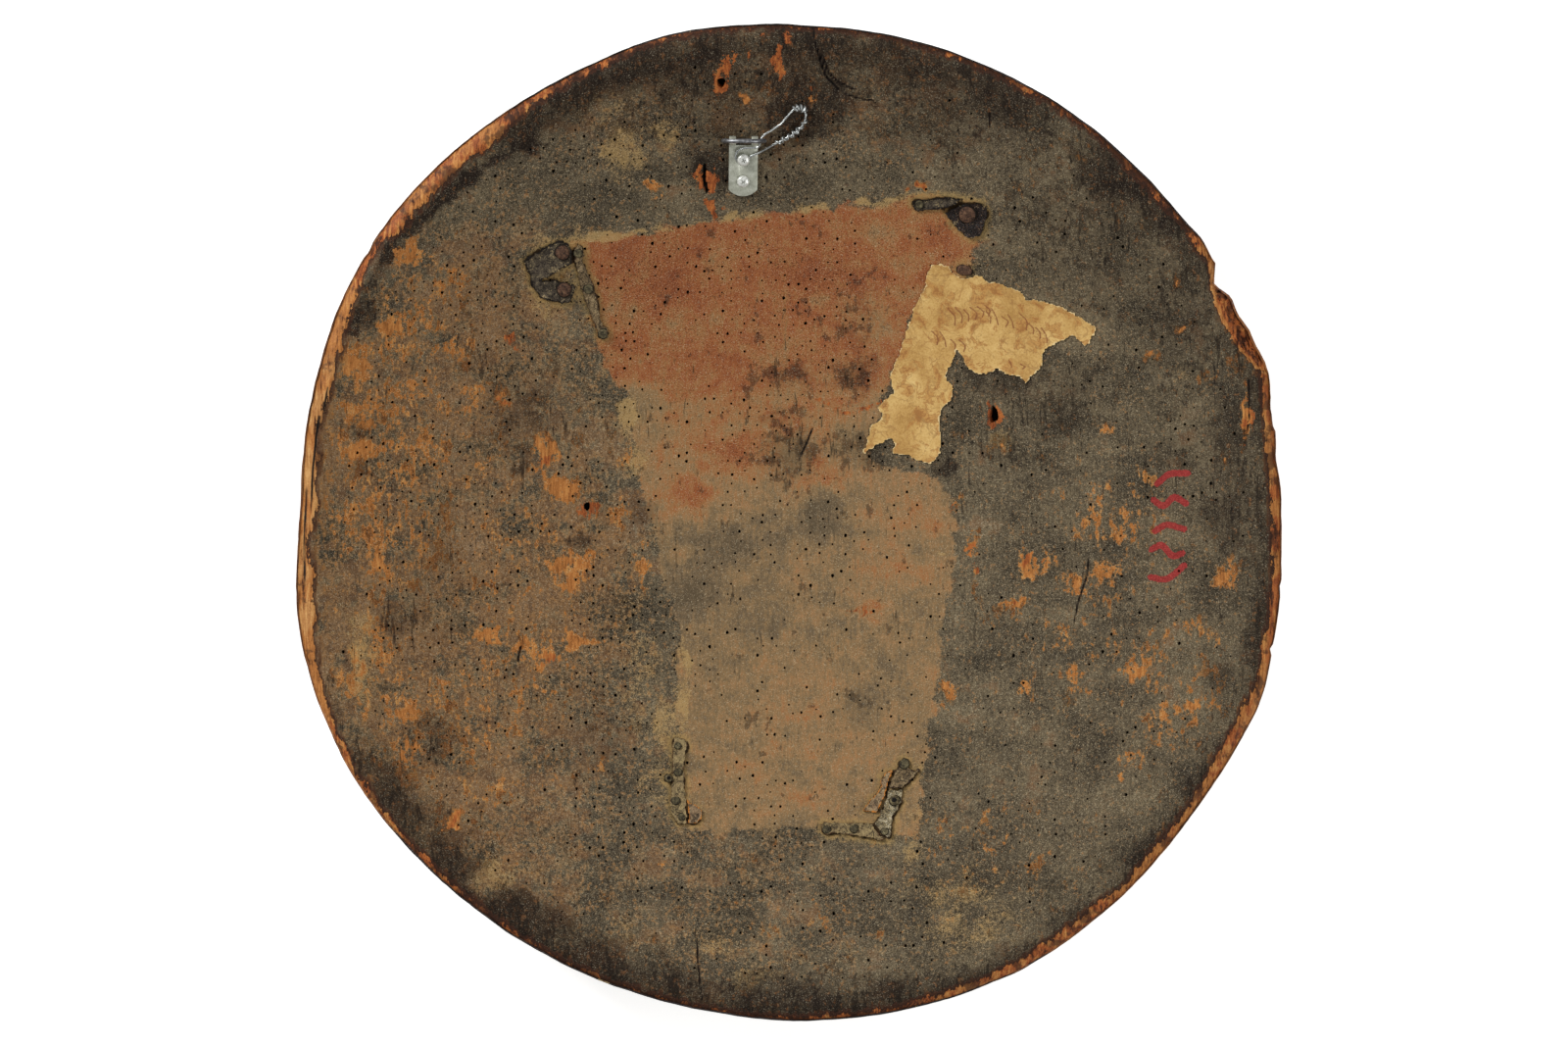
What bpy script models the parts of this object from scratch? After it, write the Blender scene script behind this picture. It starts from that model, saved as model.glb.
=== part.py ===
"""A round dished wooden shield, lying on its painted front with its back up.

The frame: metres, +Z up out of the back, +Y towards the hanger, origin on the flat spot that
the crown of the front rests on. One solid for each real piece.
"""

import math

import bmesh
import bpy
from mathutils import Matrix, Vector

MM = 0.001

# Driving dimensions: the wooden dish
RIM_RADIUS = 280.1 * MM
BACK_SPHERE = 640.0 * MM
WALL = 11.5 * MM
REST_SPOT_RADIUS = 50.0 * MM
LAND_WIDTH = 9.0 * MM
RIM_ROUNDING = ((2.8, 1.8), (0.6, 3.2), (0.0, 5.5))  # mm in from the rim, mm below the land
BACK_RINGS = 10
FRONT_RINGS = (243.0, 205.0, 165.0, 125.0, 87.0)
DISH_STEPS = 96
FRONT_SPHERE = BACK_SPHERE + WALL
SPHERE_CENTRE = math.sqrt(FRONT_SPHERE**2 - REST_SPOT_RADIUS**2)

# The rim is hand-cut and worn: flats (-) and swellings (+) at an angle from +X towards +Y,
# each with its half-width in degrees and its height in millimetres.
RIM_SWELLINGS = (
    (1.9, 9.0, -3.2),
    (7.6, 2.2, -1.9),
    (17.5, 2.3, 2.1),
    (34.5, 2.0, 1.5),
    (103.3, 8.3, 2.2),
    (163.7, 10.0, -4.5),
    (169.4, 38.1, 3.3),
    (178.5, 10.5, -7.6),
    (208.3, 11.9, 2.3),
    (251.4, 15.7, -2.3),
    (297.1, 14.7, 2.7),
    (339.2, 6.8, 3.1),
)

# The broken place at the upper right: a missing corner, and below it a splintered slope
BREAK_CORNER = ((239.0, 136.0), (248.5, 126.5), (262.0, 131.0), (252.0, 158.0), (239.0, 153.0))
BREAK_MIDDLE = 65.0 * MM
SPLINTER_SIZE = (12.0 * MM, 40.0 * MM, 12.0 * MM)
SPLINTER_PLACE = (257.7 * MM, 114.7 * MM, 70.1 * MM)
SPLINTER_HEADING = 24.0
SPLINTER_TILT = 42.0

# Clearances
GAP = 0.3 * MM
LIFT = 0.5 * MM

# Leather, paper and nails
LEATHER = 1.2 * MM
PAPER = 0.4 * MM
SHEET_CELL = 25.0 * MM
NAIL_HEAD = ((0.0, 1.9), (0.55, 1.6), (0.9, 0.8), (1.0, 0.0))  # share of the radius, mm high
NAIL_SHANK = 1.4 * MM
NAIL_LENGTH = 7.0 * MM
TACK_HEAD = ((0.0, 0.9), (0.75, 0.7), (1.0, 0.0))
TACK_SHANK = 0.8 * MM
TACK_LENGTH = 5.0 * MM
POINT_START = 0.6
DRILL_OVERRUN = 6.0 * MM

# The hanger: a strap rolled round the bar of a D-ring, two screws and a wire loop
HANGER_X = -25.7 * MM
HANGER_Y = 200.3 * MM
STRAP_LIFT = 0.6 * MM
STRAP_WIDTH = 16.3 * MM
STRAP_THICK = 1.1 * MM
STRAP_FOOT = -16.5 * MM
STRAP_FOOT_SAG = 4.0 * MM
EAR_INNER = 4.4 * MM
RING_WIRE = 1.25 * MM
RING_HALF_WIDTH = 11.55 * MM
RING_LEG = 3.5 * MM
RING_REACH = 13.5 * MM
RING_CORNER = 2.0 * MM
RING_LEAN = 15.0
BAR_Y = 16.6 * MM
KNUCKLE_INNER = RING_WIRE + GAP
KNUCKLE_OUTER = KNUCKLE_INNER + STRAP_THICK
BAR_HEIGHT = STRAP_LIFT + KNUCKLE_OUTER
SCREW_HEAD = 3.5 * MM
SCREW_HEAD_HEIGHT = 2.0 * MM
SCREW_HEAD_DOME = ((0.0, 0.0), (0.5, 0.15), (0.85, 0.7), (1.0, 1.4))  # radius share, mm down
SCREW_SLOT = (3.2 * MM, 0.7 * MM, 2.4 * MM)
SCREW_SLOT_TURNS = (20.0, 110.0)
SCREW_NECK = 1.75 * MM
SCREW_LENGTH = 9.0 * MM
UPPER_SCREW_Y = 5.4 * MM
LOWER_SCREW_Y = -7.6 * MM
WIRE = 0.55 * MM
WIRE_STEP = 2.75 * MM


# Shape of the dish

def back_height(radius):
    """Height of the hollow back at a distance from the middle."""
    return SPHERE_CENTRE - math.sqrt(BACK_SPHERE**2 - radius**2)


def front_height(radius):
    """Height of the domed front at a distance from the middle, outside the rest spot."""
    return SPHERE_CENTRE - math.sqrt(FRONT_SPHERE**2 - radius**2)


def rim_radius(angle):
    """Outer radius of the worn rim at an angle in degrees from +X towards +Y."""
    radius = RIM_RADIUS
    for middle, width, height in RIM_SWELLINGS:
        turn = (angle - middle + 180.0) % 360.0 - 180.0
        radius += height * MM * math.exp(-((turn / width) ** 2))
    return radius


def back_frame(x, y):
    """Matrix of a place on the back: Z out of the wood, X level across, Y up towards the hanger."""
    normal = Vector((-x, -y, math.sqrt(BACK_SPHERE**2 - x**2 - y**2))) / BACK_SPHERE
    across = Vector((0.0, 1.0, 0.0)).cross(normal).normalized()
    up = normal.cross(across)
    place = Vector((x, y, back_height(math.hypot(x, y))))
    turn = Matrix((across, up, normal)).transposed().to_4x4()
    return Matrix.Translation(place) @ turn


# Scene, collections and materials

def clear_scene():
    for item in list(bpy.data.objects):
        bpy.data.objects.remove(item, do_unlink=True)


def new_collection(name):
    collection = bpy.data.collections.new(name)
    bpy.context.scene.collection.children.link(collection)
    return collection


def new_material(name, colour, roughness, metallic=0.0):
    material = bpy.data.materials.new(name)
    material.use_nodes = True
    shader = material.node_tree.nodes["Principled BSDF"]
    shader.inputs["Base Color"].default_value = (*colour, 1.0)
    shader.inputs["Roughness"].default_value = roughness
    shader.inputs["Metallic"].default_value = metallic
    material.diffuse_color = (*colour, 1.0)
    return material


def new_object(name, bm, material, smooth=True):
    """The bmesh as a finished object of the shield."""
    mesh = bpy.data.meshes.new(name)
    bmesh.ops.recalc_face_normals(bm, faces=bm.faces)
    bm.to_mesh(mesh)
    bm.free()
    if smooth:
        mesh.shade_smooth()
        mesh.set_sharp_from_angle(angle=math.radians(35.0))
    mesh.materials.append(material)
    item = bpy.data.objects.new(name, mesh)
    shield.objects.link(item)
    return item


def new_cutter(name, bm):
    """The bmesh as a cutter, which is never part of the shield."""
    mesh = bpy.data.meshes.new(name)
    bmesh.ops.recalc_face_normals(bm, faces=bm.faces)
    bm.to_mesh(mesh)
    bm.free()
    item = bpy.data.objects.new(name, mesh)
    item.hide_render = True
    item.display_type = "WIRE"
    cutters.objects.link(item)
    return item


def add_cut(item, cutter):
    cut = item.modifiers.new(cutter.name, "BOOLEAN")
    cut.operation = "DIFFERENCE"
    cut.object = cutter
    cut.solver = "EXACT"


def turned(profile, steps):
    """A closed round body from a profile of (radius, height) that starts and ends on the axis."""
    bm = bmesh.new()
    points = [bm.verts.new((radius, 0.0, height)) for radius, height in profile]
    for low, high in zip(points, points[1:]):
        bm.edges.new((low, high))
    bmesh.ops.spin(
        bm,
        geom=bm.verts[:] + bm.edges[:],
        axis=(0.0, 0.0, 1.0),
        angle=math.tau,
        steps=steps,
        use_merge=True,
    )
    bmesh.ops.remove_doubles(bm, verts=bm.verts, dist=1e-7)
    return bm


def from_curve(name, curve):
    """The evaluated curve as a bmesh with its caps welded; the curve is removed."""
    item = bpy.data.objects.new(name, curve)
    shield.objects.link(item)
    bpy.context.view_layer.update()
    seen = item.evaluated_get(bpy.context.evaluated_depsgraph_get())
    mesh = bpy.data.meshes.new_from_object(seen)
    bm = bmesh.new()
    bm.from_mesh(mesh)
    bmesh.ops.remove_doubles(bm, verts=bm.verts, dist=1e-6)
    bpy.data.objects.remove(item, do_unlink=True)
    bpy.data.curves.remove(curve)
    bpy.data.meshes.remove(mesh)
    return bm


def flat_sheet(name, outline, thickness):
    """A flat plate of the outline's shape, centred on the XY plane."""
    curve = bpy.data.curves.new(name, "CURVE")
    curve.dimensions = "2D"
    curve.fill_mode = "BOTH"
    curve.extrude = thickness / 2.0
    spline = curve.splines.new("POLY")
    spline.points.add(len(outline) - 1)
    for point, (x, y) in zip(spline.points, outline):
        point.co = (x, y, 0.0, 1.0)
    spline.use_cyclic_u = True
    return from_curve(name, curve)


def tube(name, route, radius, closed=False):
    """A round rod along the route's points."""
    curve = bpy.data.curves.new(name, "CURVE")
    curve.dimensions = "3D"
    curve.bevel_depth = radius
    curve.bevel_resolution = 2
    curve.use_fill_caps = not closed
    spline = curve.splines.new("POLY")
    spline.points.add(len(route) - 1)
    for point, place in zip(spline.points, route):
        point.co = (*place, 1.0)
    spline.use_cyclic_u = closed
    return from_curve(name, curve)


def smooth_route(points, step):
    """Points a step apart on the smooth curve through a route's own points."""
    ends = [points[0] * 2 - points[1]] + points + [points[-1] * 2 - points[-2]]
    fine = []
    for before, start, end, after in zip(ends, ends[1:], ends[2:], ends[3:]):
        for k in range(20):
            t = k / 20.0
            fine.append(
                0.5
                * (
                    2.0 * start
                    + (end - before) * t
                    + (2.0 * before - 5.0 * start + 4.0 * end - after) * t**2
                    + (3.0 * start - before - 3.0 * end + after) * t**3
                )
            )
    fine.append(points[-1])
    lengths = [(b - a).length for a, b in zip(fine, fine[1:])]
    count = round(sum(lengths) / step)
    spacing = sum(lengths) / count
    route = [fine[0]]
    passed = 0.0
    for length, start, end in zip(lengths, fine, fine[1:]):
        while len(route) < count and passed + length >= len(route) * spacing:
            route.append(start.lerp(end, (len(route) * spacing - passed) / length))
        passed += length
    return route + [fine[-1]]


# The wooden dish

def make_dish():
    """Turned dish: hollow back, sloping worn land at the rim, domed front with a flat rest spot."""
    land = RIM_RADIUS - LAND_WIDTH
    edge = back_height(land)
    rings = [land * k / BACK_RINGS for k in range(BACK_RINGS + 1)]
    profile = [(radius, back_height(radius)) for radius in rings]
    profile += [(RIM_RADIUS - inset * MM, edge - drop * MM) for inset, drop in RIM_ROUNDING]
    profile += [(RIM_RADIUS - 0.4 * MM, front_height(RIM_RADIUS))]
    profile += [(radius * MM, front_height(radius * MM)) for radius in FRONT_RINGS]
    profile += [(REST_SPOT_RADIUS, 0.0), (0.0, 0.0)]
    bm = turned(profile, DISH_STEPS)
    for vert in bm.verts:
        radius = math.hypot(vert.co.x, vert.co.y)
        if vert.co.z < 1e-6 or radius < 1e-6:
            continue
        angle = math.degrees(math.atan2(vert.co.y, vert.co.x))
        stretch = rim_radius(angle) / RIM_RADIUS
        vert.co.x *= stretch
        vert.co.y *= stretch
        vert.co.z += back_height(radius * stretch) - back_height(radius)
    return new_object("shield_body", bm, wood)


def make_rim_break():
    """Two cutters at the upper right: the missing corner, and the splintered upper edge below it."""
    bm = flat_sheet("cut_rim_corner", [(x * MM, y * MM) for x, y in BREAK_CORNER], 60.0 * MM)
    bmesh.ops.translate(bm, verts=bm.verts, vec=(0.0, 0.0, BREAK_MIDDLE))
    yield new_cutter("cut_rim_corner", bm)
    bm = bmesh.new()
    bmesh.ops.create_cube(bm, size=1.0)
    bmesh.ops.scale(bm, verts=bm.verts, vec=SPLINTER_SIZE)
    heading = Matrix.Rotation(math.radians(SPLINTER_HEADING), 4, "Z")
    tilt = Matrix.Rotation(math.radians(SPLINTER_TILT), 4, "Y")
    place = Matrix.Translation(SPLINTER_PLACE)
    bmesh.ops.transform(bm, matrix=place @ heading @ tilt, verts=bm.verts)
    yield new_cutter("cut_rim_splinter", bm)


def make_old_hole(name, x, y, half_width, half_height, depth):
    """An old hole in the back, round or long, that nothing is left in."""
    bm = bmesh.new()
    bmesh.ops.create_cone(
        bm,
        cap_ends=True,
        segments=12,
        radius1=1.0,
        radius2=1.0,
        depth=2.0 * depth,
    )
    bmesh.ops.scale(bm, verts=bm.verts, vec=(half_width, half_height, 1.0))
    bmesh.ops.transform(bm, matrix=back_frame(x, y), verts=bm.verts)
    return new_cutter("cut_" + name, bm)


# Nails and tacks

def shank_cutter(name, frame, radius, depth):
    """The blind hole of a shank, with the clearance round it and below its point."""
    length = depth + GAP + DRILL_OVERRUN
    bm = bmesh.new()
    bmesh.ops.create_cone(
        bm,
        cap_ends=True,
        segments=10,
        radius1=radius + GAP,
        radius2=radius + GAP,
        depth=length,
    )
    middle = Matrix.Translation((0.0, 0.0, DRILL_OVERRUN - length / 2.0))
    bmesh.ops.transform(bm, matrix=frame @ middle, verts=bm.verts)
    return new_cutter("cut_" + name, bm)


def make_nail(name, x, y, head, oval=1.0, turn=0.0, seat=LIFT + LEATHER + GAP):
    """A hand-made nail with a low domed head, through the leather and into the wood."""
    frame = back_frame(x, y)
    profile = [(head * share, seat + height * MM) for share, height in NAIL_HEAD]
    profile += [
        (NAIL_SHANK, seat),
        (NAIL_SHANK, -NAIL_LENGTH * POINT_START),
        (0.0, -NAIL_LENGTH),
    ]
    bm = turned(profile, 14)
    for vert in bm.verts:
        if math.hypot(vert.co.x, vert.co.y) > NAIL_SHANK * 1.1:
            vert.co.y *= oval
    bmesh.ops.rotate(bm, verts=bm.verts, matrix=Matrix.Rotation(math.radians(turn), 3, "Z"))
    nail = new_object(name, bm, iron)
    nail.matrix_world = frame
    return shank_cutter(name, frame, NAIL_SHANK, NAIL_LENGTH)


def make_tack(name, x, y, head, seat=LIFT + LEATHER + GAP):
    """A small flat-headed tack."""
    frame = back_frame(x, y)
    profile = [(head * share, seat + height * MM) for share, height in TACK_HEAD]
    profile += [
        (TACK_SHANK, seat),
        (TACK_SHANK, -TACK_LENGTH * POINT_START),
        (0.0, -TACK_LENGTH),
    ]
    tack = new_object(name, turned(profile, 10), iron)
    tack.matrix_world = frame
    return shank_cutter(name, frame, TACK_SHANK, TACK_LENGTH)


# Leather and paper

def make_laid_sheet(name, outline, thickness, material, holes=()):
    """A sheet cut flat, then laid on the hollow back; the outline is in millimetres."""
    flat = [(x * MM, y * MM) for x, y in outline]
    bm = flat_sheet(name, flat, thickness)
    for axis in (0, 1):
        values = [point[axis] for point in flat]
        for k in range(math.floor(min(values) / SHEET_CELL) + 1, math.ceil(max(values) / SHEET_CELL)):
            place = Vector((0.0, 0.0, 0.0))
            normal = Vector((0.0, 0.0, 0.0))
            place[axis] = k * SHEET_CELL
            normal[axis] = 1.0
            whole = bm.verts[:] + bm.edges[:] + bm.faces[:]
            bmesh.ops.bisect_plane(bm, geom=whole, plane_co=place, plane_no=normal, dist=0.2 * MM)
    for vert in bm.verts:
        rise = vert.co.z + LIFT + thickness / 2.0
        frame = back_frame(vert.co.x, vert.co.y)
        vert.co = frame.translation + frame.col[2].to_3d() * rise
    sheet = new_object(name, bm, material, smooth=False)
    for cutter in holes:
        add_cut(sheet, cutter)
    return sheet


# The hanger

def hanger_frame():
    return back_frame(HANGER_X, HANGER_Y)


def strap_outline():
    """The strap from above: straight sides, and a foot rounded to a shallow arc."""
    half = STRAP_WIDTH / 2.0
    radius = (half**2 + STRAP_FOOT_SAG**2) / (2.0 * STRAP_FOOT_SAG)
    middle = STRAP_FOOT + radius
    spread = math.asin(half / radius)
    top = BAR_Y + KNUCKLE_OUTER + 1.0 * MM
    outline = [(half, top), (-half, top)]
    for k in range(11):
        angle = -math.pi / 2.0 - spread + 2.0 * spread * k / 10.0
        outline.append((radius * math.cos(angle), middle + radius * math.sin(angle)))
    return outline


def strap_section():
    """The strap from the side, (along, height): flat, then rolled up and back over the bar."""
    section = [(STRAP_FOOT - 1.0 * MM, STRAP_LIFT)]
    for k in range(17):
        angle = math.radians(-90.0 + 270.0 * k / 16.0)
        section.append(
            (BAR_Y + KNUCKLE_OUTER * math.cos(angle), BAR_HEIGHT + KNUCKLE_OUTER * math.sin(angle))
        )
    for k in range(17):
        angle = math.radians(180.0 - 270.0 * k / 16.0)
        section.append(
            (BAR_Y + KNUCKLE_INNER * math.cos(angle), BAR_HEIGHT + KNUCKLE_INNER * math.sin(angle))
        )
    section.append((STRAP_FOOT - 1.0 * MM, STRAP_LIFT + STRAP_THICK))
    return section


def make_strap(screws):
    """Zinc-plated strap: the rolled section, trimmed to its outline, with two ears and two holes."""
    bm = flat_sheet("hanger_strap", strap_section(), STRAP_WIDTH + 4.0 * MM)
    upright = Matrix(((0.0, 0.0, 1.0), (1.0, 0.0, 0.0), (0.0, 1.0, 0.0))).to_4x4()
    bmesh.ops.transform(bm, matrix=upright, verts=bm.verts)
    strap = new_object("hanger_strap", bm, zinc)
    strap.matrix_world = hanger_frame()
    outline = new_cutter("cut_strap_outline", flat_sheet("cut_strap_outline", strap_outline(), 20.0 * MM))
    outline.matrix_world = hanger_frame()
    trim = strap.modifiers.new("outline", "BOOLEAN")
    trim.operation = "INTERSECT"
    trim.object = outline
    trim.solver = "EXACT"
    bm = bmesh.new()
    bmesh.ops.create_cube(bm, size=1.0)
    bmesh.ops.scale(bm, verts=bm.verts, vec=(2.0 * EAR_INNER, 10.0 * MM, 12.0 * MM))
    middle = (0.0, BAR_Y - KNUCKLE_OUTER - 0.4 * MM + 5.0 * MM, BAR_HEIGHT)
    bmesh.ops.translate(bm, verts=bm.verts, vec=middle)
    notch = new_cutter("cut_between_ears", bm)
    notch.matrix_world = hanger_frame()
    add_cut(strap, notch)
    for cutter in screws:
        add_cut(strap, cutter)
    return strap


def make_screw(name, y, seat):
    """A cross-head pan screw; seat is the height that its head is driven down to."""
    frame = hanger_frame() @ Matrix.Translation((0.0, y, 0.0))
    top = seat + SCREW_HEAD_HEIGHT
    profile = [(SCREW_HEAD * share, top - drop * MM) for share, drop in SCREW_HEAD_DOME]
    profile += [
        (SCREW_HEAD, seat),
        (SCREW_NECK, seat),
        (SCREW_NECK, -SCREW_LENGTH * POINT_START),
        (0.0, -SCREW_LENGTH),
    ]
    screw = new_object(name, turned(profile, 16), zinc)
    screw.matrix_world = frame
    for k, turn in enumerate(SCREW_SLOT_TURNS):
        bm = bmesh.new()
        bmesh.ops.create_cube(bm, size=1.0)
        bmesh.ops.scale(bm, verts=bm.verts, vec=SCREW_SLOT)
        place = Matrix.Translation((0.0, 0.0, top + 0.1 * MM))
        turned_slot = frame @ place @ Matrix.Rotation(math.radians(turn), 4, "Z")
        bmesh.ops.transform(bm, matrix=turned_slot, verts=bm.verts)
        add_cut(screw, new_cutter(f"slot_{name}_{k}", bm))
    return shank_cutter(name, frame, SCREW_NECK, SCREW_LENGTH)


def ring_route():
    """Centre line of the D: the bar in the ears, two corners, two legs and the round top."""
    route = []
    for side in (1.0, -1.0):
        half = []
        for k in range(5):
            angle = math.radians(-90.0 + 90.0 * k / 4.0)
            across = RING_HALF_WIDTH - RING_CORNER + RING_CORNER * math.cos(angle)
            half.append((across * side, RING_CORNER + RING_CORNER * math.sin(angle)))
        for k in range(1, 9):
            angle = math.radians(90.0 * k / 9.0)
            across = RING_HALF_WIDTH * math.cos(angle)
            half.append((across * side, RING_LEG + (RING_REACH - RING_LEG) * math.sin(angle)))
        if side > 0:
            route += half + [(0.0, RING_REACH)]
        else:
            route += half[::-1]
    return [Vector((x, 0.0, z)) for x, z in route]


def make_ring():
    """Steel D-ring on its hinge axis, which is the middle of the bar between the ears."""
    bm = tube("hanger_ring", ring_route(), RING_WIRE, closed=True)
    ring = new_object("hanger_ring", bm, steel)
    hinge = Matrix.Translation((0.0, BAR_Y, BAR_HEIGHT))
    ring.matrix_world = hanger_frame() @ hinge @ Matrix.Rotation(math.radians(-RING_LEAN), 4, "X")
    return ring


def make_wire():
    """Wire loop: round the neck of the upper screw, through the ring, out, and back to the neck."""
    route = [
        (1.3, 3.1, 2.7),
        (-0.3, 2.7, 2.7),
        (-2.2, 3.4, 2.7),
        (-3.9, 5.2, 2.7),
        (-4.5, 7.6, 2.7),
        (-3.4, 10.4, 3.0),
        (-0.8, 12.1, 3.4),
        (3.0, 12.6, 3.9),
        (6.6, 12.8, 4.4),
        (8.6, 13.7, 5.0),
        (9.2, 16.2, 5.7),
        (9.8, 18.9, 5.7),
        (12.0, 21.0, 5.2),
        (15.8, 23.2, 4.4),
        (20.2, 26.2, 3.9),
        (23.4, 29.8, 3.9),
        (26.4, 33.6, 4.1),
        (30.0, 36.3, 4.3),
        (33.2, 35.4, 4.2),
        (34.6, 31.6, 3.9),
        (33.4, 26.6, 3.6),
        (29.0, 21.2, 3.2),
        (22.0, 17.0, 2.8),
        (15.0, 13.0, 2.6),
        (8.6, 9.4, 2.7),
        (5.4, 7.9, 2.7),
        (3.4, 6.6, 2.7),
        (2.7, 5.2, 2.7),
    ]
    frame = hanger_frame()
    points = [frame @ Vector((x * MM, y * MM, height * MM)) for x, y, height in route]
    bm = tube("hanging_wire", smooth_route(points, WIRE_STEP), WIRE)
    return new_object("hanging_wire", bm, steel)


clear_scene()
shield = new_collection("round_shield")
cutters = new_collection("cutters")
wood = new_material("poplar_wood", (0.13, 0.09, 0.055), 0.75)
leather = new_material("old_leather", (0.11, 0.08, 0.055), 0.65)
paper = new_material("old_paper", (0.50, 0.29, 0.09), 0.8)
iron = new_material("rusty_iron", (0.10, 0.06, 0.04), 0.7, 0.4)
zinc = new_material("zinc_plate", (0.38, 0.40, 0.36), 0.4, 1.0)
steel = new_material("dark_steel", (0.13, 0.13, 0.13), 0.4, 1.0)

nail_upper_left_1 = make_nail("nail_upper_left_1", -128.0 * MM, 152.8 * MM, 4.5 * MM)
nail_upper_left_2 = make_nail("nail_upper_left_2", -127.1 * MM, 132.0 * MM, 4.5 * MM)
nail_upper_right_1 = make_nail("nail_upper_right_1", 100.9 * MM, 174.2 * MM, 5.3 * MM)
nail_upper_right_2 = make_nail(
    "nail_upper_right_2", 99.3 * MM, 142.7 * MM, 4.7 * MM, oval=0.7, turn=-12.0, seat=LIFT
)
nail_lower_left = make_nail("nail_lower_left", -68.1 * MM, -144.5 * MM, 2.5 * MM)
nail_lower_right = make_nail("nail_lower_right", 59.8 * MM, -157.0 * MM, 3.2 * MM)

tacks_upper_left = [
    make_tack("tack_upper_left_1", -119.1 * MM, 152.3 * MM, 2.7 * MM),
    make_tack("tack_upper_left_2", -113.4 * MM, 132.3 * MM, 3.0 * MM),
    make_tack("tack_upper_left_3", -105.2 * MM, 107.2 * MM, 3.0 * MM),
]
tack_upper_right = make_tack("tack_upper_right", 73.8 * MM, 180.0 * MM, 2.6 * MM)
tacks_lower_left = [
    make_tack("tack_lower_left_1", -62.9 * MM, -126.2 * MM, 2.1 * MM),
    make_tack("tack_lower_left_2", -62.7 * MM, -141.1 * MM, 2.4 * MM),
    make_tack("tack_lower_left_3", -64.0 * MM, -157.1 * MM, 2.6 * MM),
    make_tack("tack_lower_left_4", -60.6 * MM, -166.2 * MM, 2.2 * MM),
]
tacks_lower_right = [
    make_tack("tack_lower_right_1", 21.4 * MM, -173.4 * MM, 2.5 * MM),
    make_tack("tack_lower_right_2", 37.0 * MM, -172.9 * MM, 2.6 * MM),
    make_tack("tack_lower_right_3", 54.3 * MM, -174.5 * MM, 2.4 * MM),
    make_tack("tack_lower_right_4", 65.5 * MM, -136.4 * MM, 3.1 * MM),
]

screw_upper_seat = STRAP_LIFT + STRAP_THICK + 2.0 * WIRE + 3.0 * GAP
screw_cutters = [
    make_screw("hanger_screw_upper", UPPER_SCREW_Y, screw_upper_seat),
    make_screw("hanger_screw_lower", LOWER_SCREW_Y, STRAP_LIFT + STRAP_THICK + GAP),
]
make_old_hole("old_nail_hole", -38.0 * MM, 247.2 * MM, 2.7 * MM, 2.7 * MM, 7.0 * MM)
make_old_hole("old_long_hole", 116.6 * MM, 60.8 * MM, 2.0 * MM, 3.8 * MM, 7.0 * MM)
make_old_hole("old_torn_hole", -114.4 * MM, 9.1 * MM, 1.8 * MM, 1.8 * MM, 6.0 * MM)
make_old_hole("old_slot", -46.8 * MM, 193.2 * MM, 1.1 * MM, 8.4 * MM, 4.0 * MM)

body = make_dish()
holes = body.modifiers.new("holes", "BOOLEAN")
holes.operation = "DIFFERENCE"
holes.operand_type = "COLLECTION"
body_holes = new_collection("body_holes")
for item in cutters.objects:
    if item.name.startswith("cut_"):
        body_holes.objects.link(item)
holes.collection = body_holes
holes.solver = "EXACT"
for rim_cutter in make_rim_break():
    add_cut(body, rim_cutter)

make_laid_sheet(
    "leather_patch_upper_left",
    [
        (-150.2, 147.8), (-148.1, 150.1), (-141.3, 154.2), (-134.9, 157.8), (-131.2, 159.4),
        (-127.6, 159.6), (-124.4, 157.8), (-123.0, 153.7), (-122.8, 146.9), (-126.7, 145.0),
        (-132.1, 141.4), (-140.8, 137.1), (-132.1, 137.7), (-128.0, 136.1), (-121.2, 135.5),
        (-121.0, 132.3), (-123.0, 126.8), (-124.4, 124.5), (-128.5, 124.3), (-134.0, 125.4),
        (-139.9, 127.0), (-145.4, 133.2), (-147.2, 141.4), (-148.8, 144.6),
    ],
    LEATHER,
    leather,
    (nail_upper_left_1, nail_upper_left_2),
)
make_laid_sheet(
    "leather_strip_upper_left",
    [
        (-121.6, 155.5), (-119.4, 158.0), (-116.6, 156.4), (-115.7, 151.9), (-117.1, 148.7),
        (-114.8, 144.1), (-113.0, 139.6), (-111.2, 135.9), (-110.2, 132.3), (-108.9, 128.6),
        (-108.0, 123.1), (-107.1, 117.7), (-105.2, 112.2), (-102.9, 110.4), (-102.5, 104.9),
        (-105.7, 103.5), (-108.4, 105.8), (-109.3, 111.3), (-111.2, 114.9), (-113.4, 120.4),
        (-114.6, 123.6), (-116.6, 129.1), (-118.5, 135.9), (-119.8, 141.4), (-121.4, 149.1),
    ],
    LEATHER,
    leather,
    tacks_upper_left,
)
make_laid_sheet(
    "leather_strip_upper_right",
    [
        (69.6, 181.8), (75.6, 183.1), (84.1, 183.9), (91.4, 184.3), (98.3, 183.4),
        (94.6, 180.6), (90.6, 178.4), (83.0, 177.6), (76.7, 176.8), (72.0, 176.0), (70.4, 179.2),
    ],
    LEATHER,
    leather,
    (tack_upper_right,),
)
make_laid_sheet(
    "leather_patch_upper_right",
    [
        (88.3, 174.7), (91.3, 177.2), (95.6, 179.4), (100.9, 181.0), (108.3, 181.0),
        (110.9, 180.2), (112.8, 177.1), (112.5, 173.4), (110.4, 167.1), (109.1, 163.4),
        (105.1, 161.5), (103.3, 160.5), (99.9, 162.8), (95.6, 166.0), (91.4, 170.7),
    ],
    LEATHER,
    leather,
    (nail_upper_right_1,),
)
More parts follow.
